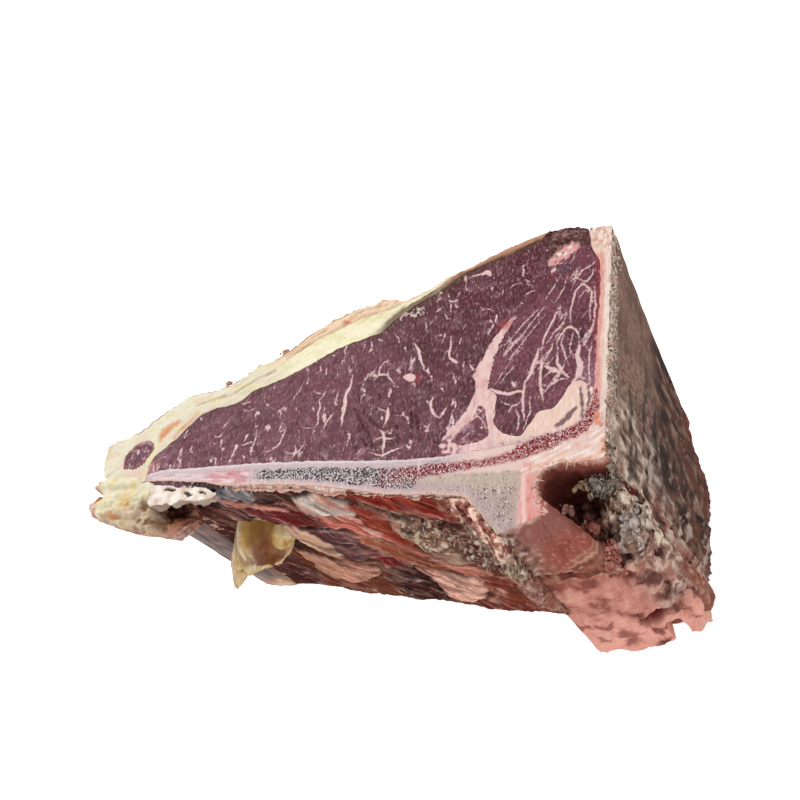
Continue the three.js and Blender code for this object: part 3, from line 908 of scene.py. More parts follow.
def pushFatCap(x, y, z, extra):
    t = extra["t"]
    pit = within(x, y, curve(flankRim, 0.5)) * 0.9
    rim = ease(0, 3, length - z) * ease(0.9, 1, t)
    out = 0.9 * fbm((12, 12, 16), 91, x, y, z) - 0.5 * np.abs(noise((30, 3, 9), 92, x, y, z))
    ends = ease(0, 8, np.hypot(x + 124, y + 15)) * ease(0, 6, np.hypot(x - 50, y - 72.5))
    ragged = 0.7 * fbm(3, 95, x, y) * ease(0.9, 1, t)
    step = 0.35 * ease(-0.5, 0.5, noise((14, 2.2), 93, x, y - 0.62 * x))
    edge = -1.1 * ease(0.8, 1, t) ** 2 * ease(-124, -116, x)
    crease = -0.5 * ease(-0.6, 0.2, lineDistance(x, y, fatCreases))
    return (out * rim + ragged) * ends, step + edge + crease + 0.2 * noise(1.6, 94, x, y) - pit


fatLevels = np.concatenate([[120, 119.4, 118.4, 117], evenLevels(114.5, 0, 2.6)])
fatChains = ladder(
    joined(capFoot, capInner, capEnd), capOuter,
    [
        (-116, -16, -128, -9), (-106, -15, -128.5, -2), (-106, -9, -120, 5), (-100, -1.5, -112, 9.5),
        (-87, 11, -96.5, 20.5), (-65, 19.5, -72, 26), (-35, 31.5, -40, 44.5), (-13, 38.3, -20, 52),
        (2, 49.5, -2, 53), (20, 60, 18, 61.3), (47, 69, 46, 71.8), (50, 72.5, 50, 72.5),
    ], 0.6)
block("fatCap", fatChains, 26, fatLevels, paintFatCap, fatMaterial, ["fat_cap"], pushFatCap)

# Seam of fat: the bed over the bone and the branch between the muscles
seamLook = {"pale": (236, 202, 198), "pink": (218, 162, 162), "lean": (112, 68, 78), "streak": (100, 68, 84)}
bedDark = {
    1: [[(55.6, -6.6), (58.4, -4.8), (60.6, -2.4), (62.4, -0.6)]],
    0.6: [[(64.6, -4), (64.2, 1), (63.6, 6.6)]],
    0.35: [[(66.4, -3), (66.4, 3), (66, 9)]],
}
marrowTurn = {
    2.3: [[(40, -15.6), (46, -13), (51.4, -11.4), (56, -10.6), (61.1, -9.1),
           (64.6, -7.2), (66.7, -4), (68.2, -0.6), (68.6, 5)]],
}
branchLines = {
    0.4: [[(36, 32), (39, 36), (43.5, 41), (47, 44.5), (50.5, 49)]],
    0.25: [[(40, 38.5), (44, 44), (48.5, 50)]],
}


def marrow(x, y):
    # the end of the red band, where it turns up beside the spine
    return ease(-0.7, 0.7, lineDistance(x, y, marrowTurn) + 0.8 * fbm(2.4, 100, x, y))


def paintSeam(x, y, z, extra):
    look = seamLook
    cream = ease(33, 42, x + 2 * noise(3, 96, x, y)) * ease(14, 4, y)
    bed = ease(-8.5, -12.5, y + 0.12 * (40 - x)) * ease(28, 40, x)
    specks = veinlets(x, y, (1.2, 1.6), 0.28, 0.05, 105)
    thin = ease(35.5, 38.5, y + 0.8 * noise(2, 102, x, y)) * ease(30, 35, x)
    corner = ease(27, 20, x) * ease(-4, -9, y)
    red = spot(x, y, 36, 35, 4.2, 4.2)
    colour = layered(look["pale"], [
        (look["pink"], ease(-0.3, 0.6, fbm((2.2, 5, 4), 101, x, y, z)) * 0.6),
        ((240, 208, 190), cream * 0.85),
        ((250, 230, 216), cream * ease(0.1, 0.5, noise((0.9, 4), 97, x, y)) * 0.6),
        ((202, 172, 178), bed * 0.7),
        ((150, 84, 92), bed * ease(0, 0.2, specks) * ease(-9.5, -11.5, y) * 0.8),
        (look["lean"], thin),
        (look["streak"], ease(-0.4, 0.3, lineDistance(x, y, bedDark) + 0.5 * noise(1.5, 106, x, y)) * 0.85),
        ((140, 84, 94), corner * ease(-0.2, 0.3, noise(1.6, 103, x, y))),
        ((186, 84, 78), red * 0.8),
    ])
    rim = np.minimum(distanceTo(x, y, seamLeft), distanceTo(x, y, seamRight))
    notch = 0.1 + 1.0 * fbm(1.6, 107, x, y) - 1.1 * rim - 4 * ease(-6.5, -9, y)
    red = marrow(x, y)
    return {
        "paint": over(colour, (206, 150, 156), red * 0.7),
        "deep": rgb(116, 22, 38),
        "pore": 0.95 * red,
        "vein": np.maximum(lineDistance(x, y, branchLines) - 9 * (thin < 0.2), notch) - 3 * red,
        "fleck": 0.35 * thin,
        "wet": 0.35,
    }


def pushSeam(x, y, z, extra):
    pit = within(x, y, curve(deepRim, 0.5)) * 0.9
    return 0.0, 0.1 + 0.2 * noise((1.2, 3), 104, x, y) - pit


branchStart = nearest(seamLeft, (27, 11))
bedChains = ladder(
    archTop, joined(seamLeft[:branchStart + 1], curve([(27, 11), (31.6, 10)]), lobes),
    [
        (20, -13.8, 18, -5.5), (26, -13.3, 24.3, 2), (29, -13, 27, 11), (31, -12.8, 31.6, 10),
        (34, -12.5, 35, 6.5), (35, -12.4, 34.3, 1), (37, -12.2, 35.5, -4.5), (40, -12, 39.5, -8),
        (45, -11.3, 44.5, -8.6), (48, -10.8, 47.5, -4.5), (51, -10.3, 50.5, -0.5), (54.5, -9.3, 54.5, 0),
        (57.5, -8.5, 57.5, 3.5), (60, -7.4, 60, 8), (63, -5.7, 63, 9.2), (67.8, 6, 67.8, 6),
    ], 0.5)
branchChains = ladder(
    joined(curve([(29.5, 10.5), (27, 11)]), seamLeft[branchStart:]),
    joined(curve([(29.5, 10.5), (31.6, 10)]), seamRight),
    [
        (27, 11, 31.6, 10), (25.8, 16, 32, 15), (29, 23, 33.2, 22), (31, 28, 34.9, 28),
        (38.5, 38.5, 40, 37), (49, 52, 51, 52), (50, 57, 50, 57),
    ], 0.5)
for name, chains, across in (("seamBed", bedChains, 40), ("seamBranch", branchChains, 14)):
    block(name, chains, across, coarseLevels, paintSeam, seamMaterial, ["seam_fat"], pushSeam)

# Chine muscle
chineVeins = {
    0.75: [[(48.5, 23.5), (47.5, 19), (46.3, 14), (44.6, 11)]],
    0.5: [[(44.6, 11.5), (44.3, 6), (44.6, 1), (45.2, -3)], [(49.7, 21), (49.8, 14), (50, 9), (51.3, 3)]],
    0.42: [[(49.3, 22), (50, 27), (52, 32), (54, 37), (55.2, 39.8)]],
    0.26: [[(36, 26), (40, 31), (44, 36), (48, 39.5)], [(40, 26), (43, 31), (47, 36.5), (50, 40.5)]],
    0.24: [[(38.5, 20), (42, 26), (46, 31.5), (50, 37)]],
    0.4: [[(55, 21.5), (54.8, 25.5), (57, 29.5), (58.5, 31), (60.5, 29.8), (62, 26), (62.7, 22.8)],
        [(59, 31), (58.8, 36), (59.5, 42), (61, 46), (62.2, 47.5),
           (64, 46.3), (65.5, 44), (65.4, 38), (65.7, 31.5)],
        [(51.5, 6.5), (54, 9), (56.5, 10.6), (59.4, 10)]],
    0.38: [[(60.6, 50), (62.5, 53), (65, 54.3), (66.8, 56)]],
    0.34: [[(61, 49.6), (63.5, 48), (65.6, 50), (66.2, 53)]],
    1: [[(62.7, 22.8), (62, 19), (63.2, 15), (62.3, 11), (60.8, 8.6)]],
    0.55: [[(55, 21.5), (55.5, 17), (57, 13.5), (59.5, 11)], [(40, 12), (41, 9.4)]],
    0.6: [[(50.5, 16.3), (54, 15), (57, 12.4)]],
    0.7: [[(31.8, 10.3), (35, 8.5), (39, 7), (43, 7.6), (44.6, 6.5)]],
    0.3: [[(36.5, 4.5), (39.5, 3), (42.5, 2.6), (44, 4.2)],
        [(57.5, 29.5), (56.3, 26), (57.6, 20), (59.4, 15.5)], [(60, 28), (59.4, 23), (60.6, 18)],
        [(51, 25), (53.5, 29), (56.5, 33), (57.8, 37)], [(52.6, 21.5), (53, 25)]],
    0.28: [[(39.5, -0.5), (41, 3)], [(46.6, 5), (47, 0), (46, -4), (45.2, -7)],
        [(42.5, 1), (43.4, -3), (43, -7)]],
    0.35: [[(65.6, 4), (66.4, 10), (65.8, 16), (66.6, 23)], [(66.7, 30), (67.2, 38), (66.8, 46)]],
    0.22: [[(33.5, 10.5), (35, 13), (37, 17), (40, 20.5)], [(35.5, 11), (38.3, 15), (41.5, 18.5)]],
    0.25: [[(53.3, 41), (55.8, 46), (57, 51)], [(49.5, 43), (52.5, 48), (54.6, 52)],
        [(62, 42), (63.4, 44.4)]],
    0.32: [[(65.8, 20), (63.8, 24.5), (65.6, 29)]],
}
chineLook = {
    "left": (110, 68, 78),
    "middle": (106, 62, 73),
    "right": (120, 73, 84),
    "dark": (74, 36, 45),
    "red": (160, 66, 68),
    "grey": (96, 78, 92),
}


def paintChineMuscle(x, y, z, extra):
    look = chineLook
    colour = leanTones(x, y, look, 111)
    blot = spot(x, y, 56, 55, 6, 3.5, 0.4 * noise(2, 115, x, y))
    blush = spot(x, y, 51, 53, 3, 4)
    haze = ease(60, 66, x) * ease(22, 8, y)
    colour = layered(colour, [
        (look["red"], 0.4 * bump(67.8, 2.2, x) * ease(10, 25, y)),
        (look["grey"], 0.7 * blot),
        (look["red"], 0.6 * blush),
        ((166, 128, 142), 0.6 * haze),
    ])
    # thin lines run up to the right beside the seam, a net of thick ones lies above the lobes
    u, v = x * 0.87 - y * 0.49, x * 0.49 + y * 0.87
    u = u + 0.9 * noise(5, 113, x, y)
    lines = veinlets(u, v, (2.6, 14), 0.15, 0.05, 112) - 1.5 * ease(12, 4, y)
    near, second = cells(4.2, 119, u, v / 1.9)
    zone = spot(x, y, 54, 15, 12, 16, 0.2 * noise(6, 114, x, y))
    net = 0.5 * zone - 0.16 - (second - near) * 0.8 - 3 * ease(3, 0, y)
    small = np.maximum(veinlets(x, y, (2.2, 3.4), 0.2, 0.3, 120), np.maximum(lines, net))
    veins = np.maximum(lineDistance(x, y, chineVeins), small)
    return {
        "paint": colour,
        "vein": np.where(extra["top"] > 0.5, veins, -4),
        "fleck": np.clip(0.4 + 0.25 * noise(6, 116, x, y), 0, 1) * extra["top"],
        "wet": 0.3 + 0.4 * ease(-0.1, 0.5, fbm(6, 117, x, y, 0, 2)),
    }


def pushMuscle(x, y, z, extra):
    return 0.0, 0.14 * noise((0.9, 1.8), 118, x, y)


lobesFoot = nearest(lobes, (44.5, -8.6))
chineChains = ladder(
    joined(back(lobes[:lobesFoot + 1]), seamRight), joined(lobes[lobesFoot:], spineInner, back(tipFoot)),
    [
        (39.5, -8, 47.5, -4.5), (35.5, -4.5, 50.5, -0.5), (34.3, 1, 54.5, 0), (35, 6.5, 57.5, 3.5),
        (31.6, 10, 60, 8), (32, 15, 63, 9.2), (33.2, 22, 67.8, 6), (34.9, 28, 68, 15),
        (37.3, 33.5, 68.3, 30), (46.3, 45, 68.6, 45), (51, 52, 66.3, 60), (50.6, 54, 64.6, 64),
        (50.3, 56, 60, 62), (50, 57, 50, 57),
    ], 0.42)
block("chineMuscle", chineChains, 80, coarseLevels, paintChineMuscle, leanMaterial, ["chine_muscle"],
      pushMuscle)


# Small muscles set into the fat, and the fat at the tip of the spines
def paintSmallMuscle(x, y, z, extra):
    tones = {**chineLook, "left": (118, 78, 88), "middle": (124, 74, 86), "right": (122, 74, 86)}
    colour = leanTones(x, y, tones, 121)
    rim = distanceTo(x, y, curve(flankRim if x.mean() < 0 else deepRim))
    pale = ease(0.1, 0.6, fbm(3, 122, x, y))
    colour = layered(colour, [
        ((158, 84, 84), ease(1.4, 0.2, rim) * 0.6),
        ((176, 142, 154), pale * 0.75),
    ])
    lines = {
        0.3: [[(21, -7.5), (24, -4.6), (26.5, -2), (29, -0.4), (30.5, -2), (31.8, -4)],
              [(27.5, -1.6), (29.2, 1.2)]],
        0.25: [[(24, -8.8), (27, -6)], [(-114.8, -3), (-115.4, -5.5)]],
        0.6: [[(-113.2, -1), (-112.6, -3)]],
    }
    veins = np.maximum(lineDistance(x, y, lines), veinlets(x, y, (1.8, 2.6), 0.24, 0.2, 123))
    return {"paint": colour, "vein": veins, "fleck": 0.6, "wet": 0.35}


smallLevels = np.array([120.15, 119.6, 118, 100, 60, 20, 0.0])
for name, node, rim, start, end in (
    ("deepMuscle", "deep_muscle", deepRim, (21, -9), (29.6, 3.5)),
    ("flankMuscle", "flank_muscle", flankRim, (-118.4, -7.5), (-106, 0.5)),
):
    block(name, evenLadder(*splitRim(rim, start, end), 8, 0.4), 26, smallLevels, paintSmallMuscle,
          leanMaterial, [node])


def paintTip(x, y, z, extra):
    chunk = lineDistance(x, y, {3.4: [[(51, 57.5), (54, 59.5), (57, 62), (59, 64)]]})
    chunk = chunk + 1.6 * noise(2.5, 131, x, y)
    crumb = fbm(0.9, 132, x, y, z) + 0.6 * noise(4, 136, x, y, z)
    fat = over((230, 168, 166), (246, 232, 216), ease(0, 0.5, noise(2.4, 133, x, y)))
    fat = over(fat, (200, 104, 100), ease(0.2, 0.6, noise(3, 134, x, y)) * 0.7)
    ring = spot(x, y, 63, 66, 3.2, 3.2)
    behind = ease(1, 6, length - z)
    colour = layered((104, 72, 70), [
        ((170, 134, 126), ease(0.2, 0.8, crumb)),
        ((72, 46, 46), ease(-0.1, -0.7, crumb)),
        (fat, ease(-0.6, 0.5, chunk)),
        ((112, 74, 70), ring * 0.5),
        (onWall((120, 92, 76)), behind * 0.7),
    ])
    return {"paint": colour, "wet": 0.15}


def pushTip(x, y, z, extra):
    rough = fbm((2.4, 2.4, 3), 135, x, y, z)
    outer = ease(69, 71, y) * ease(0, 3, length - z)
    return 0.5 * rough * outer, 0.6 * rough * extra["top"] - 0.6 * ease(69, 72, y)


tipChains = ladder(
    joined(tipLeft, capEnd, tipTop), joined(tipFoot, spineInnerTip),
    [
        (48.6, 60.5, 53, 55.5), (49.3, 65, 56.5, 58.5), (47, 69, 58, 60), (50, 72.5, 60, 62),
        (57, 72.8, 64.6, 64), (62, 71.5, 64.3, 67), (64, 69.5, 64, 69.5),
    ], 0.5)
tipLevels = np.concatenate([[120, 119.2, 118], evenLevels(116, 0, 4)])
block("tipFat", tipChains, 30, tipLevels, paintTip, seamMaterial, ["tip_fat"], pushTip)

# Vertebrae
boneLook = {
    "skin": (208, 188, 190),
    "sponge": (174, 164, 166),
    "spongeDeep": (66, 58, 62),
    "redDeep": (136, 14, 26),
    "redSponge": (178, 102, 106),
    "cream": (208, 186, 174),
    "olive": (182, 170, 146),
    "strip": (234, 166, 158),
    "cartilage": (214, 164, 166),
    "lavender": (224, 202, 204),
    "lip": (224, 192, 184),
    "arch": (242, 212, 200),
    "spinePink": (232, 170, 160),
    "spineWhite": (242, 222, 208),
}
bevelHoles = ((62.2, 68.5, 1.7), (59.8, 26.6, 4.2))  # x, z and size of the two dark holes
nearDisc, farDisc = (87.35, 82.65), (37.35, 32.65)  # where the two joints start and end along z


def paintFreshBone(x, y):
    look = boneLook
    top = distanceTo(x, y, joined(loinFoot, archTop))
    foot = distanceTo(x, y, boneFoot)
    wobble = 0.8 * noise(3, 141, x, y)
    fine = noise((0.5, 4), 142, x, y)
    hairs = ease(0.3, 0.7, noise((0.7, 5), 140, x, y))
    turn = marrow(x, y)
    sponge = ease(2.2, 3.0, top + wobble) * ease(1.4, 2.6, foot + wobble) * ease(-58, -52, x) * ease(24, 8, x)
    pore = sponge * 0.95
    cream = ease(8, 12, x) * ease(20.5, 21.5, -y + 0.5 * wobble) * ease(46.5, 44.5, x + wobble)
    olive = ease(24, 32, x) * ease(27, 22, -y) + 0.5 + fine
    lilac = bump(0, 1, (foot - 2.6) / 2.6) * ease(-50, -30, x)
    grey = ease(27, 33, x - 0.4 * (y + 28)) * ease(46, 43, x) * ease(24, 28, -y) * ease(1.6, 3.4, foot)
    pore = np.maximum(pore * (1 - cream), grey * (0.5 + 0.4 * noise(3.5, 143, x, y)))
    pore = np.maximum(pore, 0.22 * cream)
    band = np.interp(x, [-2, 16, 32, 44, 56, 66, 70], [-19.6, -18.6, -17.6, -15.8, -12.3, -7, -4])
    half = np.interp(x, [-6, 10, 16, 30, 50, 66], [1.6, 2.3, 2.2, 1.7, 1.9, 1.7])
    red = ease(1.25, 0.6, np.abs(y - band + 0.5 * wobble) / half) * ease(-8, 6, x) * ease(71, 68, x)
    red = red * np.clip(0.95 + 0.7 * noise((4, 2), 144, x, y), 0.3, 1) * ease(62, 52, x)
    red = np.maximum(red, turn)
    solid = red * ease(7, 10, x) * ease(26, 20, x)
    pore = np.maximum(pore, 0.85 * red + solid * 0.5)
    marrowDeep = ease(-12, 4, x + 4 * noise(3, 145, x, y)) * ease(-22.6, -20.8, y - 0.12 * (x - 20))
    deep = over(look["spongeDeep"], look["redDeep"], marrowDeep)
    pink = ease(44.6, 46.4, x + 0.6 * wobble) * ease(54.5, 52.5, x + 0.15 * (y + 30)) * ease(17, 21, -y)
    pore = pore * (1 - 0.8 * pink)
    left = ease(-56, -60, x + 2 * wobble)
    reds = ease(0.1, 0.5, noise((2.4, 1.0), 139, x, y)) * ease(-78, -70, x)
    pore = pore * (1 - left)
    lip = ease(1.3, 0.3, foot + 0.5 * wobble) * ease(33, 27, x)
    ring = distanceTo(x, y, canalOpen)
    above = ease(-25, -20, y)
    arch = ease(4.4, 2.6, ring + 0.9 * wobble) * above
    folds = noise((6, 1.7), 134, x + 0.6 * y, y - 0.55 * x + 0.5 * wobble)
    scratches = noise((9, 0.9), 147, x, y)
    vault = ease(7.5, 5, ring + wobble) * above * (1 - turn)
    rim = ease(1.8, 0.4, ring + 0.5 * wobble) * above
    colour = layered(look["skin"], [
        ((236, 206, 198), ease(14, 30, x)),
        (look["sponge"], sponge),
        (look["cream"], cream),
        (look["olive"], cream * np.clip(0.25 * olive, 0, 0.9)),
        ((196, 172, 176), lilac * 0.85),
        ((186, 162, 158), grey * 0.6),
        (look["redSponge"], red * 0.85),
        ((150, 26, 38), red * ease(0, 0.4, fbm(1.7, 135, x, y)) * ease(-4, 8, x) * 0.8),
        (look["strip"], pink),
        ((214, 112, 108), pink * ease(0, 0.5, noise((1.0, 3), 146, x, y)) * 0.75),
        ((248, 222, 214), pink * np.clip(hairs + bump(46.6, 1.3, x + 0.1 * (y + 28)), 0, 1) * 0.8),
        (look["cartilage"], left),
        ((196, 96, 106), left * reds * bump(0, 1, (top - 4) / 3) * 0.8),
        (look["lavender"], ease(-72, -84, x)),
        ((240, 222, 220), left * ease(0, 0.5, scratches) * 0.8),
        ((172, 134, 150), left * ease(0.1, 0.6, -scratches) * 0.5),
        (look["lip"], lip),
        ((236, 190, 172), lip * ease(0.9, 0.2, foot + 1.5 * wobble) * 0.5),
        ((250, 232, 220), ease(3.2, 1.2, foot) * ease(-72, -66, x) * ease(33, 27, x) * hairs * 0.4),
        (look["arch"], arch),
        ((240, 176, 140), vault * ease(-0.1, 0.6, folds) * 0.65),
        ((255, 244, 234), vault * ease(0, 0.6, -folds) * 0.8),
        ((214, 132, 100), rim * ease(-0.4, 0.3, noise(1.6, 133, x, y)) * 0.7),
        ((124, 62, 50), rim * ease(0.25, 0.5, noise(0.9, 131, x, y)) * 0.8),
    ])
    canalEdge = ease(3, 0.5, ring) * ease(-18, -24, y)
    pore = np.maximum(pore * (1 - arch), 0.5 * canalEdge * ease(-24, -27, y))
    spine = ease(-6, 1, y + 0.5 * wobble) * ease(66, 67.5, x) + ease(60, 62, y) * ease(62, 63, x)
    spine = np.clip(spine, 0, 1)
    across = (x - 67.6) / 4.4
    lines = noise((0.5, 14), 148, x, y)
    knob = ease(58.5, 61, y + 0.6 * wobble)
    patches = fbm((1.6, 2.2), 132, x, y)
    streaks = noise((0.5, 12), 149, x, y)
    strip = layered(look["spinePink"], [
        (look["spineWhite"], ease(0.35, 0.75, across + 0.25 * lines)),
        ((196, 116, 112), 0.35 * ease(-0.1, 0.5, streaks) * ease(0.5, 0.2, across)),
        ((250, 240, 230), 0.7 * ease(0.2, 0.6, lines) * ease(0.4, 0.6, across)),
        ((236, 204, 188), knob * 0.9),
        ((252, 236, 222), knob * ease(0, 0.4, patches) * 0.8),
        ((206, 140, 126), knob * ease(0.1, 0.5, -patches) * 0.6),
        ((212, 136, 130), knob * bump(63.6, 1.4, x) * 0.8),
    ])
    pore = pore * (1 - spine * (1 - turn))
    orange = spot(x, y, 69.4, -5, 1.8, 4.6, 0.4 * noise(1.2, 137, x, y))
    skin = ease(2.8, 2.0, top + wobble) * ease(28, 14, x)
    pore = pore * (1 - skin)
    fringe = spot(x, y, 9.6, -18, 0.7, 5)
    colour = layered(colour, [
        ((206, 178, 172), canalEdge * ease(-0.2, 0.4, noise(1.4, 138, x, y))),
        (strip, spine * (1 - 0.8 * turn)),
        ((222, 124, 82), orange * 0.85),
        (look["skin"], skin * 0.85),
        ((150, 124, 140), skin * ease(0.2, 0.6, noise((6, 0.7), 136, x, y)) * 0.5),
        ((232, 218, 222), skin * ease(1.3, 0.5, top + 0.4 * wobble) * 0.8),
        ((244, 228, 228), fringe),
        ((236, 224, 222), 0.6 * hairs * ease(8, 14, x) * ease(46, 40, x) * ease(2, 5, top)),
    ])
    return colour, deep, np.clip(pore * (1 - fringe), 0, 1)


def paintSawn(x, y, z):
    # the sawn backbone side: smooth and streaked in front and high up, then crumbly and pale lower down
    flat = 0 * y
    broad = noise((1, 18, 22), 151, flat, y, z)
    streaks = noise((1, 22, 4.4), 150, flat, y, z + 0.12 * y)
    fine = noise((1, 8, 2.0), 149, flat, y, z + 0.12 * y)
    mottle = fbm((1, 5, 12), 152, flat, y, z, 4)
    dots = fbm((1, 0.9, 2.6), 148, flat, y, z)
    dotted = 0.3 + 0.7 * ease(38, 8, y)
    rough = ease(84, 64, z + 0.3 * (y - 25) + 10 * broad)
    blots = fbm((1, 8, 18), 153, flat, y, z, 4)
    dark = over((90, 66, 58), (56, 38, 33), ease(-0.05, 0.35, blots))
    dark = over(dark, (140, 120, 108), ease(0.12, 0.5, -blots) * 0.7)
    crumbs = fbm((1, 3.6, 9), 154, flat, y, z, 5)
    pale = threeTones((50, 38, 34), (144, 118, 106), (206, 190, 176), crumbs, (0.05, 0.5), (-0.1, -0.5))
    grey = ease(18, 6, y + 6 * broad) * ease(58, 76, z + 12 * broad)
    shade = spot(y, z, 6, 68, 17, 27) * ease(-0.35, 0.25, fbm((1, 5, 12), 155, flat, y, z, 4))
    far = ease(52, 34, z + 0.2 * y + 10 * broad)
    redBrown = over((100, 70, 62), (54, 36, 33), ease(0, 0.4, fbm((1, 12, 16), 156, flat, y, z, 4)))
    redBrown = over(redBrown, (140, 116, 104), ease(0.1, 0.5, fbm((1, 7, 14), 157, flat, y, z, 4)) * 0.8)
    redBrown = over(redBrown, (124, 66, 60), ease(14, 4, z) * ease(0, 30, y) * 0.6)
    low = ease(-6, -17, y + 6 * broad) * ease(112, 100, z)
    lumps = fbm((1, 4.5, 12), 158, flat, y, z, 5)
    flesh = over((160, 120, 106), (212, 192, 176), ease(0.05, 0.45, lumps + 0.3 * ease(46, 60, z) - 0.15))
    flesh = over(flesh, (134, 84, 74), ease(-0.05, -0.35, lumps))
    flesh = over(flesh, (58, 30, 27), ease(-0.3, -0.6, lumps + 0.3 * streaks))
    grooves = noise((1, 24, 5.5), 146, flat, y, z + 0.1 * y)
    aged = ease(112, 96, z) * ease(60, 20, y)
    tufts = ease(0.1, 0.45, -grooves + 0.5 * lumps - 0.1)
    colour = layered((130, 102, 93), [
        ((92, 72, 66), np.clip(0.4 + 0.6 * broad + 0.5 * streaks, 0, 0.85)),
        ((160, 136, 122), ease(0.1, 0.7, fine) * 0.2),
        ((74, 54, 48), ease(0.2, 0.8, -fine) * 0.2),
        ((150, 126, 112), ease(0.1, 0.6, mottle) * 0.35),
        ((64, 44, 39), ease(0.05, 0.4, dots) * 0.6 * dotted),
        ((190, 164, 148), ease(0.05, 0.4, -dots) * 0.5 * dotted),
        (dark, rough * 0.9),
        (pale, grey * 0.85),
        ((184, 160, 146), ease(-13, -9, y) * ease(0, -5, y) * ease(104, 116, z) * 0.5),
        ((56, 37, 33), shade * 0.75),
        (redBrown, far * 0.85),
        (flesh, low * 0.95),
        ((52, 36, 33), ease(0.15, 0.5, grooves + 0.3 * mottle) * aged * 0.75),
        ((186, 168, 156), tufts * ease(24, 4, y) * ease(98, 84, z) * 0.7),
    ])
    end = ease(30, 14, z + 6 * broad) * ease(-14, -24, y)
    return onWall(over(colour, (190, 118, 104), end * 0.6))


def aheadOfDisc(x, z):
    # how far in front of the slanting joint each point of the underside is
    return z - (81 + 0.48 * (x - 34)) - 0.8 * noise(4, 168, x, z)


def holeDistance(x, z, hole):
    cx, cz, size = hole
    return np.hypot(x - cx, (z - cz) * 0.7) / size + 0.2 * noise(1.5, 164, x, z)


def paintBevel(x, y, z):
    broad = fbm(9, 163, x, z)
    line = aheadOfDisc(x, z)
    behind = ease(-1, -9, line + 4 * broad)
    mottle = fbm((6, 11), 159, x, z, 0, 5)
    grain = noise((1.4, 8), 162, x, z)
    specks = fbm(1.1, 167, x, z, 0, 2)
    mauve = ease(98, 110, z + 3 * broad)
    patch = spot(x, z, 67.5, 56, 7, 11)
    crumbs = fbm((2.2, 3.6), 166, x, z, 0, 5)
    pale = threeTones((66, 46, 40), (146, 112, 98), (208, 190, 176), crumbs, (0.05, 0.45), (-0.1, -0.45))
    right = ease(60, 69, x + 3 * broad) * ease(24, 40, z) * (1 - 0.8 * patch)
    colour = layered((154, 88, 78), [
        ((156, 112, 92), bump(-9, 8, line + 3 * broad) * 0.7),
        ((198, 136, 122), ease(-10, -22, line + 5 * broad) * 0.9),
        ((238, 172, 156), ease(48, 16, z + 8 * broad) * 0.85),
        ((104, 54, 48), ease(0, 0.7, grain) * 0.4 * (1 - 0.6 * behind)),
        ((190, 130, 116), ease(0.1, 0.7, -grain) * 0.3),
        ((204, 160, 144), ease(0.35, 0.6, specks) * 0.5),
        ((92, 48, 44), ease(0.3, 0.6, -specks) * 0.4 * (1 - 0.5 * behind)),
        ((142, 96, 89), mauve * 0.7),
        ((208, 170, 142), np.maximum(bump(0, 1.0, line), 0.6 * bump(2.2, 0.7, line)) * 0.85),
        ((76, 42, 36), bump(-2.0, 1.3, line) * 0.7),
        ((120, 62, 56), ease(0.05, 0.5, mottle) * behind * 0.7),
        ((84, 36, 36), ease(0.4, 0.75, mottle + 0.3 * broad + patch) * behind * ease(50, 60, x) * 0.8),
        ((226, 176, 158), ease(0.1, 0.5, -mottle) * behind * 0.45),
        (pale, right * 0.7),
    ])
    for hole in bevelHoles:
        colour = over(colour, (112, 10, 14), ease(1.15, 0.75, holeDistance(x, z, hole)))
    grey = ease(48, 40, x + 4 * noise(4, 165, x, z)) * ease(80, 92, z)
    olive = over(pale, (126, 122, 96), 0.5 * ease(0, 0.4, noise(5, 160, x, z)))
    return onWall(over(colour, olive, grey * 0.8))


def paintVertebra(x, y, z, extra):
    colour, deep, pore = paintFreshBone(x, y)
    top = extra["top"] * (z > length - 1)
    ring = distanceTo(x, y, canalOpen)
    sawn = (x > 70.5) & (y > -13) & (ring > 0.2) | (x > 71.4) & (y > -33)
    bevel = (y < -29.5) & (x >= 38.5) & ~((z > 87) & (ring < 0.3) & (y > -35.7))
    canal = (ring < 0.3) & (z > 87) & ~bevel & (x < 71.9)
    outside = onWall(crumbColours(x, y, z, (2, 6, 9), 178, (104, 70, 62), (156, 116, 100), (208, 176, 156)))
    # painted shade inside the canal: the wall gets darker from 2 to 10 mm behind the fresh face
    inside = over((146, 86, 74), (98, 54, 46), ease(118, 110, z + 3 * noise(4, 171, x, y, z)))
    inside = over(inside, (206, 158, 140), ease(116.5, 119.6, z + noise(1.5, 173, x, y, z)) * 0.8)
    front = extra["top"] * (z < length - 1)
    end = crumbColours(x, y, z, (2, 2, 3), 175, (70, 44, 38), (132, 98, 86), (194, 172, 156))
    fresh = ease(2.4, 0.6, length - z + 1.2 * noise(1.5, 172, x, y, z)) * (~sawn)
    edge = ease(8, 4.5, length - z + 4 * noise((1, 3, 2.4), 174, 0 * y, y, z)) * (sawn & (y > -12) & (y < 69))
    tufts = crumbColours(0 * y, y, z, (1, 1.3, 3.4), 177, (72, 48, 40), (158, 128, 112), (250, 240, 230))
    outside = layered(outside, [
        (paintSawn(x, y, z), sawn.astype(float)),
        (paintBevel(x, y, z), bevel.astype(float)),
        (onWall(inside), canal.astype(float)),
        (over(paintBevel(x, y, z), end, ease(-40, -37, y)), front),
        ((226, 186, 172), fresh * 0.8),
        (onWall(tufts), edge * 0.85),
    ])
    colour = over(colour, outside, 1 - top)
    crumbly = sawn * (1 - top) * (0.1 + 0.35 * ease(24, 8, y) + 0.35 * ease(84, 64, z + 0.3 * (y - 25)))
    deep = over(deep, onWall((44, 32, 29)), 1 - top)
    return {"paint": colour, "deep": deep, "pore": pore * top + 0.14 * crumbly, "wet": 0.15 + 0.35 * canal}


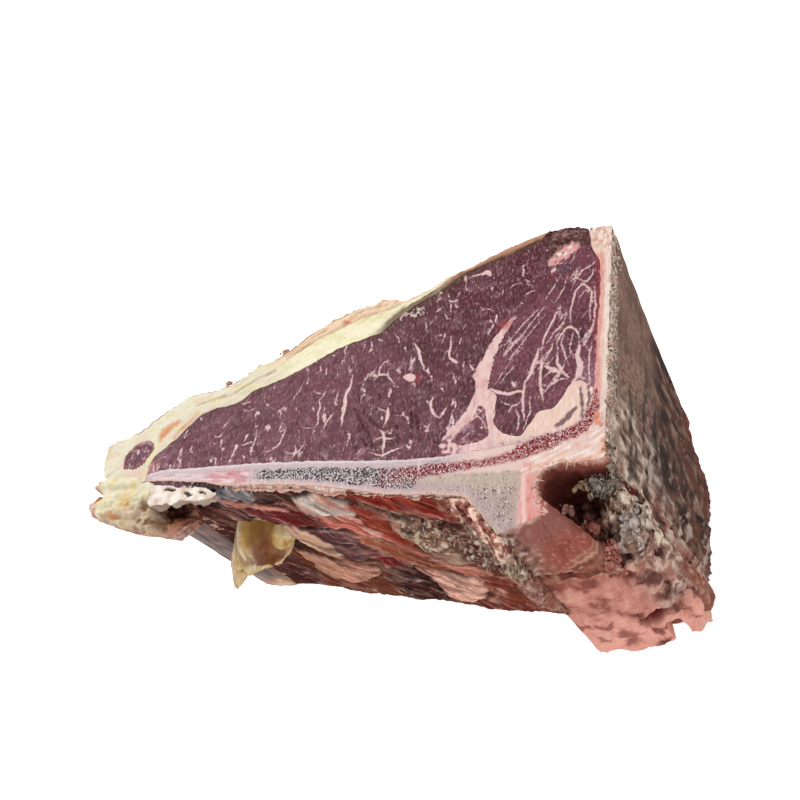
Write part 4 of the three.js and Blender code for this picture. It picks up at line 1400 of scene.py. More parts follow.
def pushVertebra(x, y, z, extra):
    depth = ease(0.2, 2.5, length - z)
    ring = distanceTo(x, y, canalOpen)
    broad = noise((1, 18, 22), 151, 0 * y, y, z)
    sawn = ((x > 71.9) & (y > -13) | (x > 71.4) & (y > -33) & (z < 87)).astype(float) * ease(70, 66, y)
    coarse = ease(80, 62, z + 0.25 * (y - 25) + 8 * broad) * 0.6
    coarse = coarse + ease(16, 6, y) * 0.6 + ease(-6, -16, y) * 1.2
    sawnOut = 0.1 * noise((1, 8, 3), 181, 0 * y, y, z) + coarse * (fbm((9, 5, 12), 182, x, y, z, 5) - 0.2)
    bevel = ((y < -29.5) & (x >= 39.5) & ((ring > 0.3) | (z < 87.4))).astype(float)
    line = aheadOfDisc(x, z)
    lumpy = 0.35 + 0.9 * ease(-4, -16, line) + 0.9 * ease(58, 66, x)
    bevelOut = lumpy * fbm((6, 6, 8), 183, x, y, z, 4)
    bevelOut = bevelOut + 0.5 * bump(0, 1.2, line) - 0.5 * bump(-2.2, 1.3, line)
    for hole in bevelHoles:
        bevelOut = bevelOut - 1.2 * hole[2] * ease(1.1, 0.5, holeDistance(x, z, hole))
    # the near body swells until it is flush with the ones behind it
    gap = np.interp(x, [39, 47, 55], [1.4, 4.4, 6.0]) * ease(118, 88, z) * (z > 87.34) * (ring > 0.3)
    gap = gap - 1.2 * ease(78, 87, z) * (z < 87.36)
    notch = 8.5 * ease(1.0, 0.55, np.abs(x - 63.2) / 2.6) * ease(20, 9, z)
    canal = ((ring < 0.3) & (z > 87)).astype(float) * ease(1.2, 0, np.abs(ring))
    canalOut = -0.8 * fbm((3, 3, 5), 184, x, y, z)
    out = sawn * sawnOut + bevel * (bevelOut + gap - notch) + canal * canalOut * (1 - bevel)
    fringe = 0.2 * noise((0.7, 2.6), 185, x, y) + 0.25 * noise(2, 186, x, y) * ease(60, 66, x)
    return out * depth, fringe * extra["top"] * (z > length - 1)


boneTop = joined(loinFoot, archTop, spineInner, spineInnerTip, spineTip)
spineStations = [
    (67.8, 6, 72, 2), (68.3, 30, 72, 30), (68.2, 55, 72, 57), (64.6, 64, 72, 65), (64, 69.5, 72, 68.5),
    (72, 70, 72, 70),
]
nearBoneChains = ladder(
    boneTop, joined(boneTail, boneFoot, bevelOpen, canalOpen, sawnSide),
    [
        (-103, -11.9, -106, -15), (-84, -11, -85, -16.5), (-55, -11.2, -55, -19.6),
        (-25, -12.4, -25, -22.5), (-10, -13.6, -8, -25), (4, -14.2, 8, -27), (16, -14, 22, -28.3),
        (22, -13.8, 31.5, -33.5), (27, -13.2, 39, -42.2), (36, -12.3, 55, -35.8), (42, -11.8, 52, -31),
        (46, -11.2, 50.7, -25.5), (50, -10.5, 52.5, -21.5), (55, -9.2, 57, -19.6), (61, -7, 64, -19.3),
        (65.5, -3.5, 71.5, -18.5), (67, -0.5, 72, -12.5), *spineStations,
    ], 0.6)
innerBoneChains = ladder(
    boneTop, joined(boneTail, boneFoot, bevelShut, canalClosed, sawnSide),
    [
        (-103, -11.9, -106, -15, 6), (-84, -11, -85, -16.5, 6), (-55, -11.2, -55, -19.6, 6),
        (-25, -12.4, -25, -22.5, 6), (4, -14.2, 8, -27, 6), (16, -14, 22, -28.3, 6),
        (20, -13.8, 31.5, -33.5, 3), (24, -13.2, 39, -42.2, 2), (36, -12.3, 50, -41.3),
        (50, -10.5, 62, -37.3), (58, -8.3, 71.6, -33), (64, -5, 71.9, -25), (67, -0.5, 72, -12.5),
        *spineStations,
    ], 0.8)
nearLevels = np.concatenate([[120, 119.5, 118.9], evenLevels(118.2, nearDisc[0], 0.8)])
block("vertebraNear", nearBoneChains, 44, nearLevels, paintVertebra, boneMaterial, ["vertebra_1"],
      pushVertebra)
for name, node, high, low in (
    ("gristleNear", "joint_gristle_1", *nearDisc), ("vertebraMiddle", "vertebra_2", nearDisc[1], farDisc[0]),
    ("gristleFar", "joint_gristle_2", *farDisc), ("vertebraFar", "vertebra_3", farDisc[1], 0),
):
    block(name, innerBoneChains, 1, evenLevels(high, low, 0.9), paintVertebra, boneMaterial, [node],
          pushVertebra)
print("bones done")

# Dried tissue in the canal, behind its mouth
canalRim = [
    (70.3, -19.5), (64, -20.3), (57.3, -20.6), (53.5, -22.3), (51.9, -25.5), (53, -30.4), (56.4, -33),
    (63, -32.5), (70.3, -29.8), (72.6, -27), (72.8, -22.5), (70.3, -19.5),
]


def paintCanalTissue(x, y, z, extra):
    colour = crumbColours(x, y, z, (3, 3, 6), 201, (70, 42, 36), (148, 116, 102), (222, 206, 186))
    left = ease(66, 58, x + 4 * noise(5, 202, x, y, z)) * extra["top"]
    colour = layered(colour, [
        ((128, 70, 58), left * 0.95),
        ((150, 96, 84), (1 - extra["top"]) * ease(60, 20, z) * 0.7),
    ])
    return {"paint": onWall(colour), "wet": 0.15}


def pushCanalTissue(x, y, z, extra):
    rough = fbm((4, 4, 5), 203, x, y, z, 5)
    return 0.9 * rough * ease(68, 72, x), 4.5 * rough * extra["top"] * ease(56, 62, x)


def liftCanalTissue(x, z):
    return (24 * ease(56, 71, x) - 3) * z / 85


tissueChains = evenLadder(*splitRim(canalRim, (53, -30.4), (72.8, -22.5)), 8, 0.6)
block("canalTissue", tissueChains, 24, evenLevels(85, 0, 0.9), paintCanalTissue, crustMaterial,
      ["canal_tissue"], pushCanalTissue, liftCanalTissue)

# Bone between the bevel and the canal: the slanted mouth of the canal widens with depth
def wedgePlace(u, v, z):
    f = np.clip((120 - z) / 32, 0, 1)
    x = 52.4 + u * (2.6 + 11 * f) / 12
    under = -36.5 + 0.4 * (x - 53.2) * (1 - f) - 6.2 * f
    above = -31.9 - 4.4 * f + 0.3 * (x - 55) * f
    y = under + (above - under) * v / 3.6
    rough = fbm((3, 3, 5), 191, x, y, z, 4) * ease(0, 0.25, f)
    return x + 0.5 * rough, y + 0.7 * rough, z


def paintWedge(u, v, z, extra):
    x, y, _ = wedgePlace(u, v, z)
    colour = paintBevel(x - 2, y, z - 2.8 - 0.12 * (x - 53))
    inside = onWall(over((150, 84, 72), (196, 140, 124), ease(0, 0.5, fbm(2.6, 192, x, y, z))))
    return {"paint": over(colour, inside, ease(2.2, 3.0, v)), "wet": 0.3}


wedgeUnder, wedgeAbove = curve([(0, 0), (12, 0)]), curve([(0, 3.6), (8, 3.4), (12, 1.6)])
block("bevelWedge", evenLadder(wedgeUnder, wedgeAbove, 4, 0.5), 8, evenLevels(120, 86, 0.8), paintWedge,
      boneMaterial, reshape=wedgePlace)


def paintSpill(x, y, z, extra):
    colour = crumbColours(x, y, z, (2.2, 2.2, 3.4), 195, (74, 42, 38), (156, 106, 92), (208, 176, 158))
    broad = noise(6, 196, x, y, z)
    colour = over(colour, (184, 108, 96), ease(0, 0.4, broad) * ease(69, 65, x) * 0.7)
    return {"paint": onWall(over(colour, (110, 62, 54), ease(-34, -31, y + 2 * broad) * 0.7)), "wet": 0.2}


def pushSpill(x, y, z, extra):
    rough = fbm((3.4, 3.4, 5), 197, x, y, z, 5)
    return 0.8 * rough, (3.2 * rough + 1.5 * ease(64, 71, x) - 1.5) * extra["top"]


spillUnder = curve([(54, -40.4), (58, -39.2), (62, -37.8), (66, -36.2), (69, -34.6), (72.2, -33)])
spillAbove = curve([
    (54, -40.4), (55, -36.4), (58, -33), (62, -31), (67, -29.4), (70.5, -27.6), (72.6, -26), (72.2, -33),
])
block("canalSpill", evenLadder(spillUnder, spillAbove, 8, 0.5), 26, evenLevels(90.5, 82, 0.8), paintSpill,
      crustMaterial, push=pushSpill)

# The dark end of the canal mouth
endUnder = curve([
    (50.6, -25.6), (52.4, -31), (56, -36.6), (63, -37.4), (71, -36), (75.4, -32), (76.6, -27),
])
endAbove = curve([
    (50.6, -25.6), (52.6, -21.4), (57, -19.4), (64, -19.1), (71, -18.6), (75.6, -21), (76.6, -27),
])


def paintEnd(x, y, z, extra):
    colour = crumbColours(x, y, z, (3, 2.2, 3), 193, (78, 42, 36), (138, 84, 72), (190, 140, 124))
    # painted shade: darker under the roof of the canal
    colour = over(colour, (62, 32, 28), ease(-30, -22, y + 0.3 * (x - 60)) * 0.5)
    right = crumbColours(x, y, z, (1.6, 1.8, 2), 192, (96, 72, 64), (168, 140, 126), (226, 212, 200))
    return {"paint": onWall(over(colour, right, ease(62, 67, x + 2 * noise(3, 191, x, y, z)))), "wet": 0.2}


def pushEnd(x, y, z, extra):
    rough = fbm((3.4, 3.4), 194, x, y, 0, 5)
    return 0.8 * rough * ease(68, 74, x), 3.2 * rough + (3.4 + 2 * rough) * ease(62, 73, x)


block("canalEnd", evenLadder(endUnder, endAbove, 8, 0.5), 30, np.array([89.5, 87]), paintEnd, crustMaterial,
      push=pushEnd)

# The inner side: bands of dried lean and fat under the side processes
innerPatches = [  # colour, how far it stands out, outline in x and z; the later ones lie on the earlier
    ((128, 46, 32), 0.3, [(-42, 121), (32, 121), (32, 100), (20, 97), (8, 103), (-8, 111), (-25, 116)]),
    # painted shade: the dark hollow under the lip of the bone
    ((62, 54, 54), -1, [(-90, 122), (-60, 121), (-40, 121), (-14, 113), (-28, 109), (-62, 109), (-88, 107)]),
    # painted shade: a dark crevice between the bands
    ((46, 32, 26), -2, [(-36, 117), (-8, 111), (8, 103), (19, 98), (14, 93), (2, 99), (-12, 106),
                        (-30, 110)]),
    ((122, 128, 132), 0.6, [(-77, 121), (-63, 121), (-60, 112), (-72, 111)]),
    ((106, 64, 52), 0.0, [(-78, 108), (-30, 108), (-8, 96), (12, 80), (20, 40), (-30, 0), (-80, 10)]),
    ((230, 218, 206), 1.1, [(-43, 112), (-33, 115), (-23, 114), (-19, 104), (-26, 99), (-40, 100)]),
    ((200, 114, 98), 1.4, [(-42, 101), (-22, 101), (-19, 92), (-8, 78), (0, 64), (-8, 66), (-20, 80),
                           (-34, 88), (-42, 90)]),
    ((112, 32, 38), 0.8, [(-69, 104), (-52, 109), (-42, 104), (-40, 90), (-46, 86), (-60, 91)]),
    ((178, 108, 96), 1.0, [(-84, 109), (-66, 108), (-44, 103), (-66, 102)]),
    ((56, 38, 46), 0.2, [(-92, 104), (-78, 105), (-66, 102), (-66, 92), (-80, 90)]),
    ((138, 62, 42), 0.2, [(-21, 110), (-10, 106), (-8, 92), (-7, 78), (-12, 76), (-19, 88)]),
    ((176, 152, 130), 1.1, [(-9, 106), (2, 99), (13, 86), (12, 62), (0, 66), (-6, 80), (-9, 92)]),
    ((88, 34, 28), -0.8, [(10, 98), (20, 92), (20, 56), (10, 54)]),
    ((92, 64, 68), 0.7, [(-52, 84), (-36, 86), (-30, 78), (-28, 62), (-40, 58), (-56, 60), (-58, 70)]),
    ((112, 40, 44), 0.2, [(-84, 102), (-64, 100), (-50, 90), (-58, 84), (-72, 92)]),
    ((200, 164, 136), 1.2, [(-67, 88), (-59, 87), (-46, 75), (-51, 57), (-57, 66)]),
    # painted shade: a dark crevice between the bands
    ((36, 24, 22), -2.0, [(-82, 88), (-67, 92), (-60, 74), (-62, 60), (-75, 58)]),
    ((142, 82, 60), 0.4, [(-33, 84), (-20, 79), (-8, 66), (-2, 56), (-10, 50), (-24, 52), (-28, 62)]),
    ((186, 116, 100), 1.1, [(-8, 72), (-2, 66), (12, 50), (8, 44), (-6, 54)]),
    ((118, 34, 42), 0.5, [(-39, 62), (-28, 62), (-22, 50), (-30, 45)]),
    ((190, 142, 120), 1.4, [(-74, 54), (-50, 56), (-40, 49), (-44, 38), (-62, 22), (-74, 26)]),
    ((60, 14, 22), 0.2, [(-39, 49), (-26, 50), (-20, 46), (-19, 12), (-42, -4)]),
    ((232, 180, 160), 1.3, [(-22, 50), (-6, 49), (2, 40), (-2, 20), (-18, 12)]),
    ((126, 66, 56), 0.4, [(2, 48), (22, 46), (30, 0), (0, 0), (2, 30)]),
    ((78, 46, 50), -0.4, [(-112, 108), (-92, 104), (-82, 60), (-90, 0), (-112, 0)]),
]


def insideOf(x, y, outline, reach=4.0):
    # how far inside a closed outline each point is, and -reach where it is further outside than that
    ring = resampled(curve(outline + outline[:1], 0.5), 140)
    result = np.full(x.shape, -reach)
    low, high = ring.min(0) - reach, ring.max(0) + reach
    close = (x > low[0]) & (x < high[0]) & (y > low[1]) & (y < high[1])
    sign = np.where(within(x[close], y[close], ring), 1.0, -1.0)
    result[close] = np.maximum(-reach, sign * distanceTo(x[close], y[close], ring))
    return result


def innerFibres(x, z):
    # places along and across the fibres, which run down to the right and bend a little
    return (x - z) * 0.7, (x + z) * 0.7 + 2.0 * noise(14, 215, x, z)


def innerStreaks(x, z):
    # fibres of three widths
    along, across = innerFibres(x, z)
    wide = noise((30, 4.6), 209, along, across)
    return wide, noise((18, 1.7), 216, along, across), noise((9, 0.7), 217, along, across)


def innerBands(x, z):
    # colour, height and grooves of the bands: noise and fibres move their edges, raised ones end in a groove
    # that paintInner darkens as painted shade
    wide, long, short = innerStreaks(x, z)
    wx = x + 2.8 * noise(13, 211, x, z) + 0.7 * noise(4, 212, x, z)
    wz = z + 2.8 * noise(13, 213, x, z) + 0.7 * noise(4, 214, x, z)
    colour = (112, 62, 52)
    height = groove = rim = np.zeros(len(x))
    for tint, rise, outline in innerPatches:
        inside = insideOf(wx, wz, outline) + 1.5 * wide + 0.6 * long + 0.2 * short
        mask = ease(-0.9, 1.2, inside)
        colour = over(colour, tint, mask * 0.92)
        height = height * (1 - mask) + rise * ease(-1.5, 4, inside) * mask
        groove = groove * (1 - ease(0, 2, inside)) + bump(-0.6, 1.2, inside) * (rise > 0.6) * 0.7
        rim = rim * (1 - ease(0, 2, inside)) + bump(1.2, 1.0, inside) * (rise > 0.2)
    return over(colour, (226, 188, 170), 0.3 * np.clip(rim, 0, 1)), height - 0.6 * groove, groove


def paintInner(x, y, z):
    colour, _, groove = innerBands(x, z)
    wide, long, short = innerStreaks(x, z)
    straight = (x - z) * 0.7, (x + z) * 0.7
    blush = ease(-0.1, 0.5, noise((14, 4), 207, *straight))
    colour = over(colour, (170, 96, 84), blush * ease(0.1, 0.25, colour.mean(1)) * 0.7)
    # lighter where the fibres stand out and darker where they sink: partly fibre colour, partly painted light
    # and shade
    colour = colour * (1 + 0.4 * wide + 0.4 * long + 0.3 * short)[:, None].clip(0.3, 1.7)
    pale = ease(0.15, 0.6, long + 0.3 * wide) * ease(-0.2, 0.4, fbm(6, 218, x, z, 0, 2))
    bent = innerFibres(x, z)
    marbled = noise((22, 3.2), 206, *bent)
    skins = bump(0, 0.09, noise((26, 4.4), 205, *bent))
    dark = ease(-0.25, -0.9, long + 0.4 * short + 0.4 * wide)
    shine = ease(0.3, 0.7, noise((5, 0.6), 208, *straight) + 0.3 * short)
    crumbly = ease(0.1, 0.6, spot(x, z, 3, 90, 18, 22)) * ease(-9, -6, x)
    crumbly = np.maximum(crumbly, spot(x, z, -6, 108, 14, 5))
    crumbly = np.maximum(crumbly, 0.8 * ease(12, 22, x) * ease(20, 40, z))
    crust = crumbColours(x, y, z, (2.4, 2.4, 4), 219, (56, 36, 28), (140, 98, 80), (206, 186, 162))
    lean = ease(104, 112, z) * ease(-38, -28, x)
    colour = layered(colour, [
        ((206, 154, 134), 0.3 * pale),
        ((84, 34, 36), ease(0, 0.45, marbled) * 0.6),
        ((196, 140, 124), ease(0.1, 0.55, -marbled) * 0.3),
        ((234, 204, 190), skins * ease(-0.1, 0.4, noise(9, 204, x, z)) * 0.45),
        # painted shade: near-black in the grooves at the foot of raised bands and where the fibres sink
        ((40, 20, 18), np.clip(0.5 * dark + 0.75 * groove, 0, 0.9)),
        # painted highlights: pale glints along the fibres
        ((226, 196, 180), 0.14 * shine),
        (crust, crumbly * 0.75),
        ((186, 92, 62), lean * ease(0.1, 0.6, long) * 0.6),
        ((66, 24, 20), lean * ease(0.1, 0.6, -long) * 0.7),
    ])
    wet = 0.4 + 0.3 * long + 0.4 * ease(-14, -30, x) * ease(106, 112, z)
    return {"paint": onWall(np.clip(colour, 0, 1)), "wet": wet, "pore": 0.5 * crumbly,
            "deep": onWall((50, 34, 28))}


def innerDepth(x, z):
    _, height, _ = innerBands(x, z)
    wide, long, short = innerStreaks(x, z)
    places = [-104, -92, -72, -50, -40, -27, -4, 20, 32]
    side = np.interp(x, places, [0.6, 1, 1.6, 2.6, 3.6, 2.8, 2.4, 1.8, 1.2])
    side = side * np.interp(z, [0, 60, 112, 119], [1.4, 1.2, 1.0, 0.8])
    return side + height * 0.9 + 0.8 * wide + 0.4 * long + 0.1 * short + 0.8 * fbm(9, 220, x, z)


footX, footY = boneFoot[np.argsort(boneFoot[:, 0])].T


def underBone(drop):
    return lambda x: np.interp(x, footX, footY) - drop + 0.6


pillow("innerLean", (-108, 32), (0, 118.8), underBone(0.6), innerDepth, paintInner, crustMaterial,
       ["inner_lean"], (300, 330), (14, 14))
pillow("innerMuscle", (-66, -36), (40, 90), underBone(0.6), lambda x, z: innerDepth(x, z) + 2.2, paintInner,
       crustMaterial, ["inner_muscle"], (90, 130))
pillow("innerFat", (-31, 20), (52, 108), underBone(0.6), lambda x, z: innerDepth(x, z) + 1.2, paintInner,
       crustMaterial, ["inner_fat"], (130, 150))


def paintGristle(x, y, z):
    # curled cream and pink in front with painted shade for the hollows between the curls, grey-white crumbs
    # with olive and dark specks behind
    curls = fbm((4, 3, 4.4), 224, x, y, z)
    fine = fbm((1.3, 1.1, 1.6), 225, x, y, z)
    front = layered((150, 100, 88), [
        ((226, 194, 176), ease(0.05, 0.35, curls + 0.3 * fine)),
        # painted shade of the hollows between the curls
        ((74, 40, 36), ease(-0.1, -0.45, curls + 0.4 * fine)),
        ((196, 126, 110), ease(0.1, 0.5, -fine) * 0.4),
    ])
    behind = crumbColours(x, y, z, (2.6, 2.6, 4), 221, (62, 46, 38), (164, 132, 116), (222, 204, 190))
    behind = layered(behind, [
        ((120, 112, 84), 0.5 * ease(30, 37, x) * ease(0, 0.4, noise(5, 223, x, y, z))),
        ((206, 140, 122), 0.5 * ease(0.1, 0.5, noise(6, 226, x, y, z))),
        ((146, 92, 80), 0.7 * ease(96, 84, z + 4 * noise(6, 229, x, y, z))),
    ])
    colour = over(front, behind, ease(112, 104, z + 3 * noise(4, 222, x, y, z)))
    return {"paint": onWall(colour), "wet": 0.2, "pore": 0.4 * ease(112, 104, z),
            "deep": onWall((54, 38, 32))}


def gristleDepth(x, z):
    out = np.interp(x, [19, 24, 28, 33, 40], [2.0, 4.4, 6.0, 6.6, 7.2]) * ease(44, 74, z)
    curls = fbm((4, 4.4), 227, x, z, 0, 4)
    out = out * (1 + 0.35 * noise((60, 8), 228, x, z) * ease(112, 104, z))
    return np.minimum(out + 2.4 * curls, 9.2) - 2.2 * spot(x, z, 28.5, 115, 2.4, 3)


pillow("innerGristle", (18, 40.4), (46, 119), underBone(1), gristleDepth, paintGristle, crustMaterial,
       ["inner_gristle"], (100, 170), (5, 10))

# Fat that hangs at the flank end: the near lump is cut flush with the fresh face, with a hollow at its right
lumpTop = curve([
    (-127.4, -14.2), (-120, -13.0), (-112, -13.4), (-106, -14.4), (-103, -15.6), (-98, -17), (-90, -18),
    (-84.5, -20),
])
lumpFoot = curve([
    (-127.4, -14.2), (-131.6, -15.2), (-128.4, -19.4), (-136.2, -19.8), (-137, -23.6), (-131, -28),
    (-122.5, -31), (-115, -34), (-108, -35.8), (-103, -36), (-101, -36.4), (-97, -37.2), (-92.5, -36.4),
    (-89, -34), (-86, -30), (-84, -25.5), (-84.5, -20),
])
lumpLook = {"depth": 27.5, "taper": 0.42, "hollow": 15, "right": 8.5}


def lumpFolds(x, y):
    return fbm((10, 6), 231, x + 0.8 * y, y - 0.5 * x)


def lumpHeight(x, y):
    look = lumpLook
    lower = ease(-23, -29, y + 2 * noise(6, 232, x, y))
    height = 119.4 - 3.5 * lower * ease(-120, -112, x) * ease(-94, -100, x)
    height = height - 2.4 * ease(-127.5, -130, x)
    height = height - look["right"] * ease(-103, -96, x + 2 * noise(5, 233, x, y))
    height = height + 1.6 * ease(-18, -15.5, y) * ease(-105, -110, x)
    hollow = spot(x, y, -90, -24, 12, 7.5)
    height = height - (look["hollow"] - look["right"]) * hollow
    height = height - 4.0 * ease(4, 0, distanceTo(x, y, lumpFoot)) ** 2 * ease(-15.5, -18, y)
    return height + 2.2 * (lumpFolds(x, y) - 0.1) * ease(-17, -24, y) + 0.4 * noise(2.4, 234, x, y)


def reshapeLump(x, y, z):
    low = 120 - lumpLook["depth"]
    height = low + (z - low) * (lumpHeight(x, y) - low) / (120 - low)
    shrink = 1 - lumpLook["taper"] * (119.5 - height) / lumpLook["depth"]
    return x - 0.45 * (119.5 - height) * ease(-112, -88, x), -16 + (y + 16) * shrink, height


def paintLump(x, y, z, extra):
    folds = lumpFolds(x, y)
    broad = fbm(8, 235, x, y, z)
    blots = fbm(3.6, 238, x, y, z, 4)
    inner = ease(-21, -27, y + 2 * noise(6, 232, x, y)) * ease(-120, -112, x)
    orange = spot(x, y, -119.5, -28, 6, 3.2, 0.3 * noise(2, 236, x, y))
    right = ease(-104, -96, x + 2 * noise(5, 233, x, y))
    brown = layered((172, 130, 104), [
        ((88, 56, 46), ease(-36, -28, y + 0.25 * (x + 90))),
        ((206, 166, 140), ease(0.1, 0.5, blots) * 0.6),
        ((150, 86, 42), spot(x, y, -89, -31, 5, 3.5) * 0.8),
        # painted shade: darker in the hollow that lumpHeight sinks at the right
        ((104, 72, 62), spot(x, y, -90, -24, 10, 6) * 0.9),
    ])
    colour = layered((232, 222, 190), [
        ((234, 216, 158), ease(0, 0.5, broad)),
        ((240, 234, 216), ease(0.1, 0.5, blots) * 0.6),
        ((226, 178, 158), ease(-126, -131, x) * 0.8),
        ((208, 180, 150), inner * 0.8),
        # painted light and shade on the folds that lumpHeight raises: dark in their hollows, pale on their
        # ridges
        ((136, 94, 70), inner * ease(-0.05, -0.4, folds) * 0.8),
        ((236, 212, 192), inner * ease(0.1, 0.5, folds) * 0.6),
        ((190, 116, 62), orange * 0.85),
        ((236, 190, 112), 0.6 * spot(x, y, -114, -22, 5, 7)),
        (brown, right),
        ((208, 142, 120), ease(2.4, 0.4, distanceTo(x, y, lumpFoot) + broad) * 0.6),
    ])
    side = over(colour, over((168, 116, 92), (84, 52, 42), right), 0.35 + 0.5 * ease(0, 0.4, blots))
    return {"paint": over(colour, onWall(side), 1 - extra["top"]), "wet": 0.35}


def pushLump(x, y, z, extra):
    return 0.8 * fbm((6, 6, 8), 237, x, y, z) * (1 - extra["top"]), 0.0


lumpLevels = evenLevels(120, 120 - lumpLook["depth"], 0.9)
block("flankFatNear", evenLadder(lumpTop, lumpFoot, 16, 0.45), 60, lumpLevels, paintLump, fatMaterial,
      ["flank_fat_1"], pushLump, reshape=reshapeLump)

# Torn strips between the bone and the lump: dark lean above cream fat with holes in it
sliverTop = curve([(-104, -15.4), (-98, -15.2), (-88, -16.2), (-78, -17.2), (-69, -19)])
sliverFoot = curve([(-104, -15.6), (-98, -17), (-92, -18), (-84, -18.8), (-76, -19.6), (-69, -20)])
ledgeTop = curve([(-105, -16.4), (-97, -17.2), (-90, -17.6), (-82, -18.4), (-76, -19.8), (-71.5, -22)])
ledgeFoot = curve([
    (-105, -16.4), (-103, -20), (-101.5, -24.5), (-98.5, -25.4), (-94, -24.6), (-90.5, -24.8), (-87, -23.4),
    (-83, -24.0), (-78, -24.2), (-74.5, -23.8), (-71.5, -22),
])
ledgeHoles = {
    0.55: [[(-95.5, -18.9), (-93, -19), (-90.8, -19.2)]],
    0.6: [[(-86, -20.6), (-84, -21.4), (-82.5, -21.6)]],
    0.35: [[(-79, -20.6), (-76.4, -21.6)]],
}


def paintSliver(x, y, z, extra):
    colour = over((112, 76, 88), (60, 42, 42), ease(-94, -82, x + 2 * noise(4, 241, x, y)))
    return {"paint": over(colour, (60, 40, 38), 1 - extra["top"]), "fleck": 0.3, "wet": 0.3}


def ledgeHole(x, y):
    return ease(-0.3, 0.4, lineDistance(x, y, ledgeHoles) + 0.5 * noise(1.2, 243, x, y))


def paintLedge(x, y, z, extra):
    broad = fbm(4, 242, x, y, z, 4)
    colour = layered((224, 206, 190), [
        ((244, 236, 224), ease(-0.4, 0.6, broad)),
        ((206, 168, 148), ease(0.2, 0.9, -broad) * 0.6),
        ((62, 44, 36), ledgeHole(x, y) * 0.95),
    ])
    return {"paint": over(colour, (150, 104, 84), (1 - extra["top"]) * 0.6), "wet": 0.3}


def pushSliver(x, y, z, extra):
    return 0.0, 0.3 * noise(2, 244, x, y) - 0.8


def pushLedge(x, y, z, extra):
    ragged = 0.8 * fbm(4, 245, x, y, z, 5) * ease(-19, -22, y)
    return ragged, 0.2 * fbm(5, 246, x, y) - 0.7 - 1.4 * ledgeHole(x, y)


sliverLevels, ledgeLevels = np.array([120, 119, 117, 110.0]), np.array([120, 119, 118, 117, 115.5])
block("flankSliver", evenLadder(sliverTop, sliverFoot, 8, 0.5), 10, sliverLevels, paintSliver, leanMaterial,
      push=pushSliver)
block("flankLedge", evenLadder(ledgeTop, ledgeFoot, 12, 0.35), 30, ledgeLevels, paintLedge, fatMaterial,
      push=pushLedge)


# Torn skin that hangs from the lower edge of the fresh bone
def lipSkirt(name, edge, long, colours, seed):
    # a thin ragged curtain: its foot lies a random distance outside the edge
    ahead = np.gradient(edge, axis=0)
    ahead /= np.hypot(*ahead.T)[:, None]
    outward = np.stack([ahead[:, 1], -ahead[:, 0]], 1)
    along = np.arange(len(edge)) * 0.3
    flat = 0 * along
    drop = 0.45 + 0.6 * fbm((5, 1), seed, along, flat) + 0.7 * fbm((9, 1), seed + 9, along, flat, 0, 2)
    foot = edge + outward * (long * np.clip(drop, 0.06, 1.6))[:, None]
    top = edge - 0.5 * outward

    def paint(x, y, z, extra):
        share = extra["t"] + 0.5 * noise((2.4, 2), seed + 5, x, y)
        colour = over(colours[0], colours[1], ease(0.2, 0.9, share))
        return {"paint": over(colour, colours[2], 0.4 * ease(0.1, 0.6, noise((4, 3), seed + 6, x, y))),
                "wet": 0.25}

    def push(x, y, z, extra):
        return 0.0, -2.2 * extra["t"] ** 2 + 0.4 * noise((2, 2), seed + 7, x, y)

    block(name, [top, foot], 8, 119.6 - np.array([0, 0.6, 1.4]), paint, seamMaterial, push=push)


skirtEdge = resampled(boneFoot, 400)
skinTones = ((250, 232, 222), (230, 176, 154), (252, 242, 234))
lipSkirt("lipSkirtLeft", skirtEdge[110:236], 3.4, skinTones, 251)
lipSkirt("lipSkirtMiddle", skirtEdge[232:390], 1.5, skinTones, 271)


def farDepth(x, z):
    across = x - 0.72 * (z - 62)
    spike = 6 * spot(across, z, -95, 62, 4, 8)
    lumpy = 3.4 * fbm((6, 10), 292, x, z, 0, 5)
    return 20 - 0.3 * (across + 96) - 0.25 * (75 - z) + lumpy + spike


def paintFar(x, y, z):
    broad = fbm(8, 293, x, z)
    brown = ease(1.2, 0.5, np.hypot((x + 74) / 8, (z - 75) / 11) + 0.3 * noise(5, 294, x, z))
    folds = fbm((6, 10), 292, x, z, 0, 5)
    colour = layered((214, 186, 140), [
        ((204, 164, 98), ease(0, 0.5, broad)),
        ((232, 214, 186), ease(0.05, 0.5, -broad) * 0.8),
        ((116, 62, 26), brown * 0.9),
        # painted shade: darker where the folds of farDepth leave the fat thinner
        ((150, 106, 62), 0.6 * ease(-0.05, -0.4, folds)),
    ])
    return {"paint": onWall(colour), "wet": 0.35}


pillow("flankFatFar", (-101, -71), (42, 84), lambda x: -15.5 + 0 * x, farDepth, paintFar, fatMaterial,
       ["flank_fat_2"], (150, 150), (5, 3), 0.72)
print("inner side done")

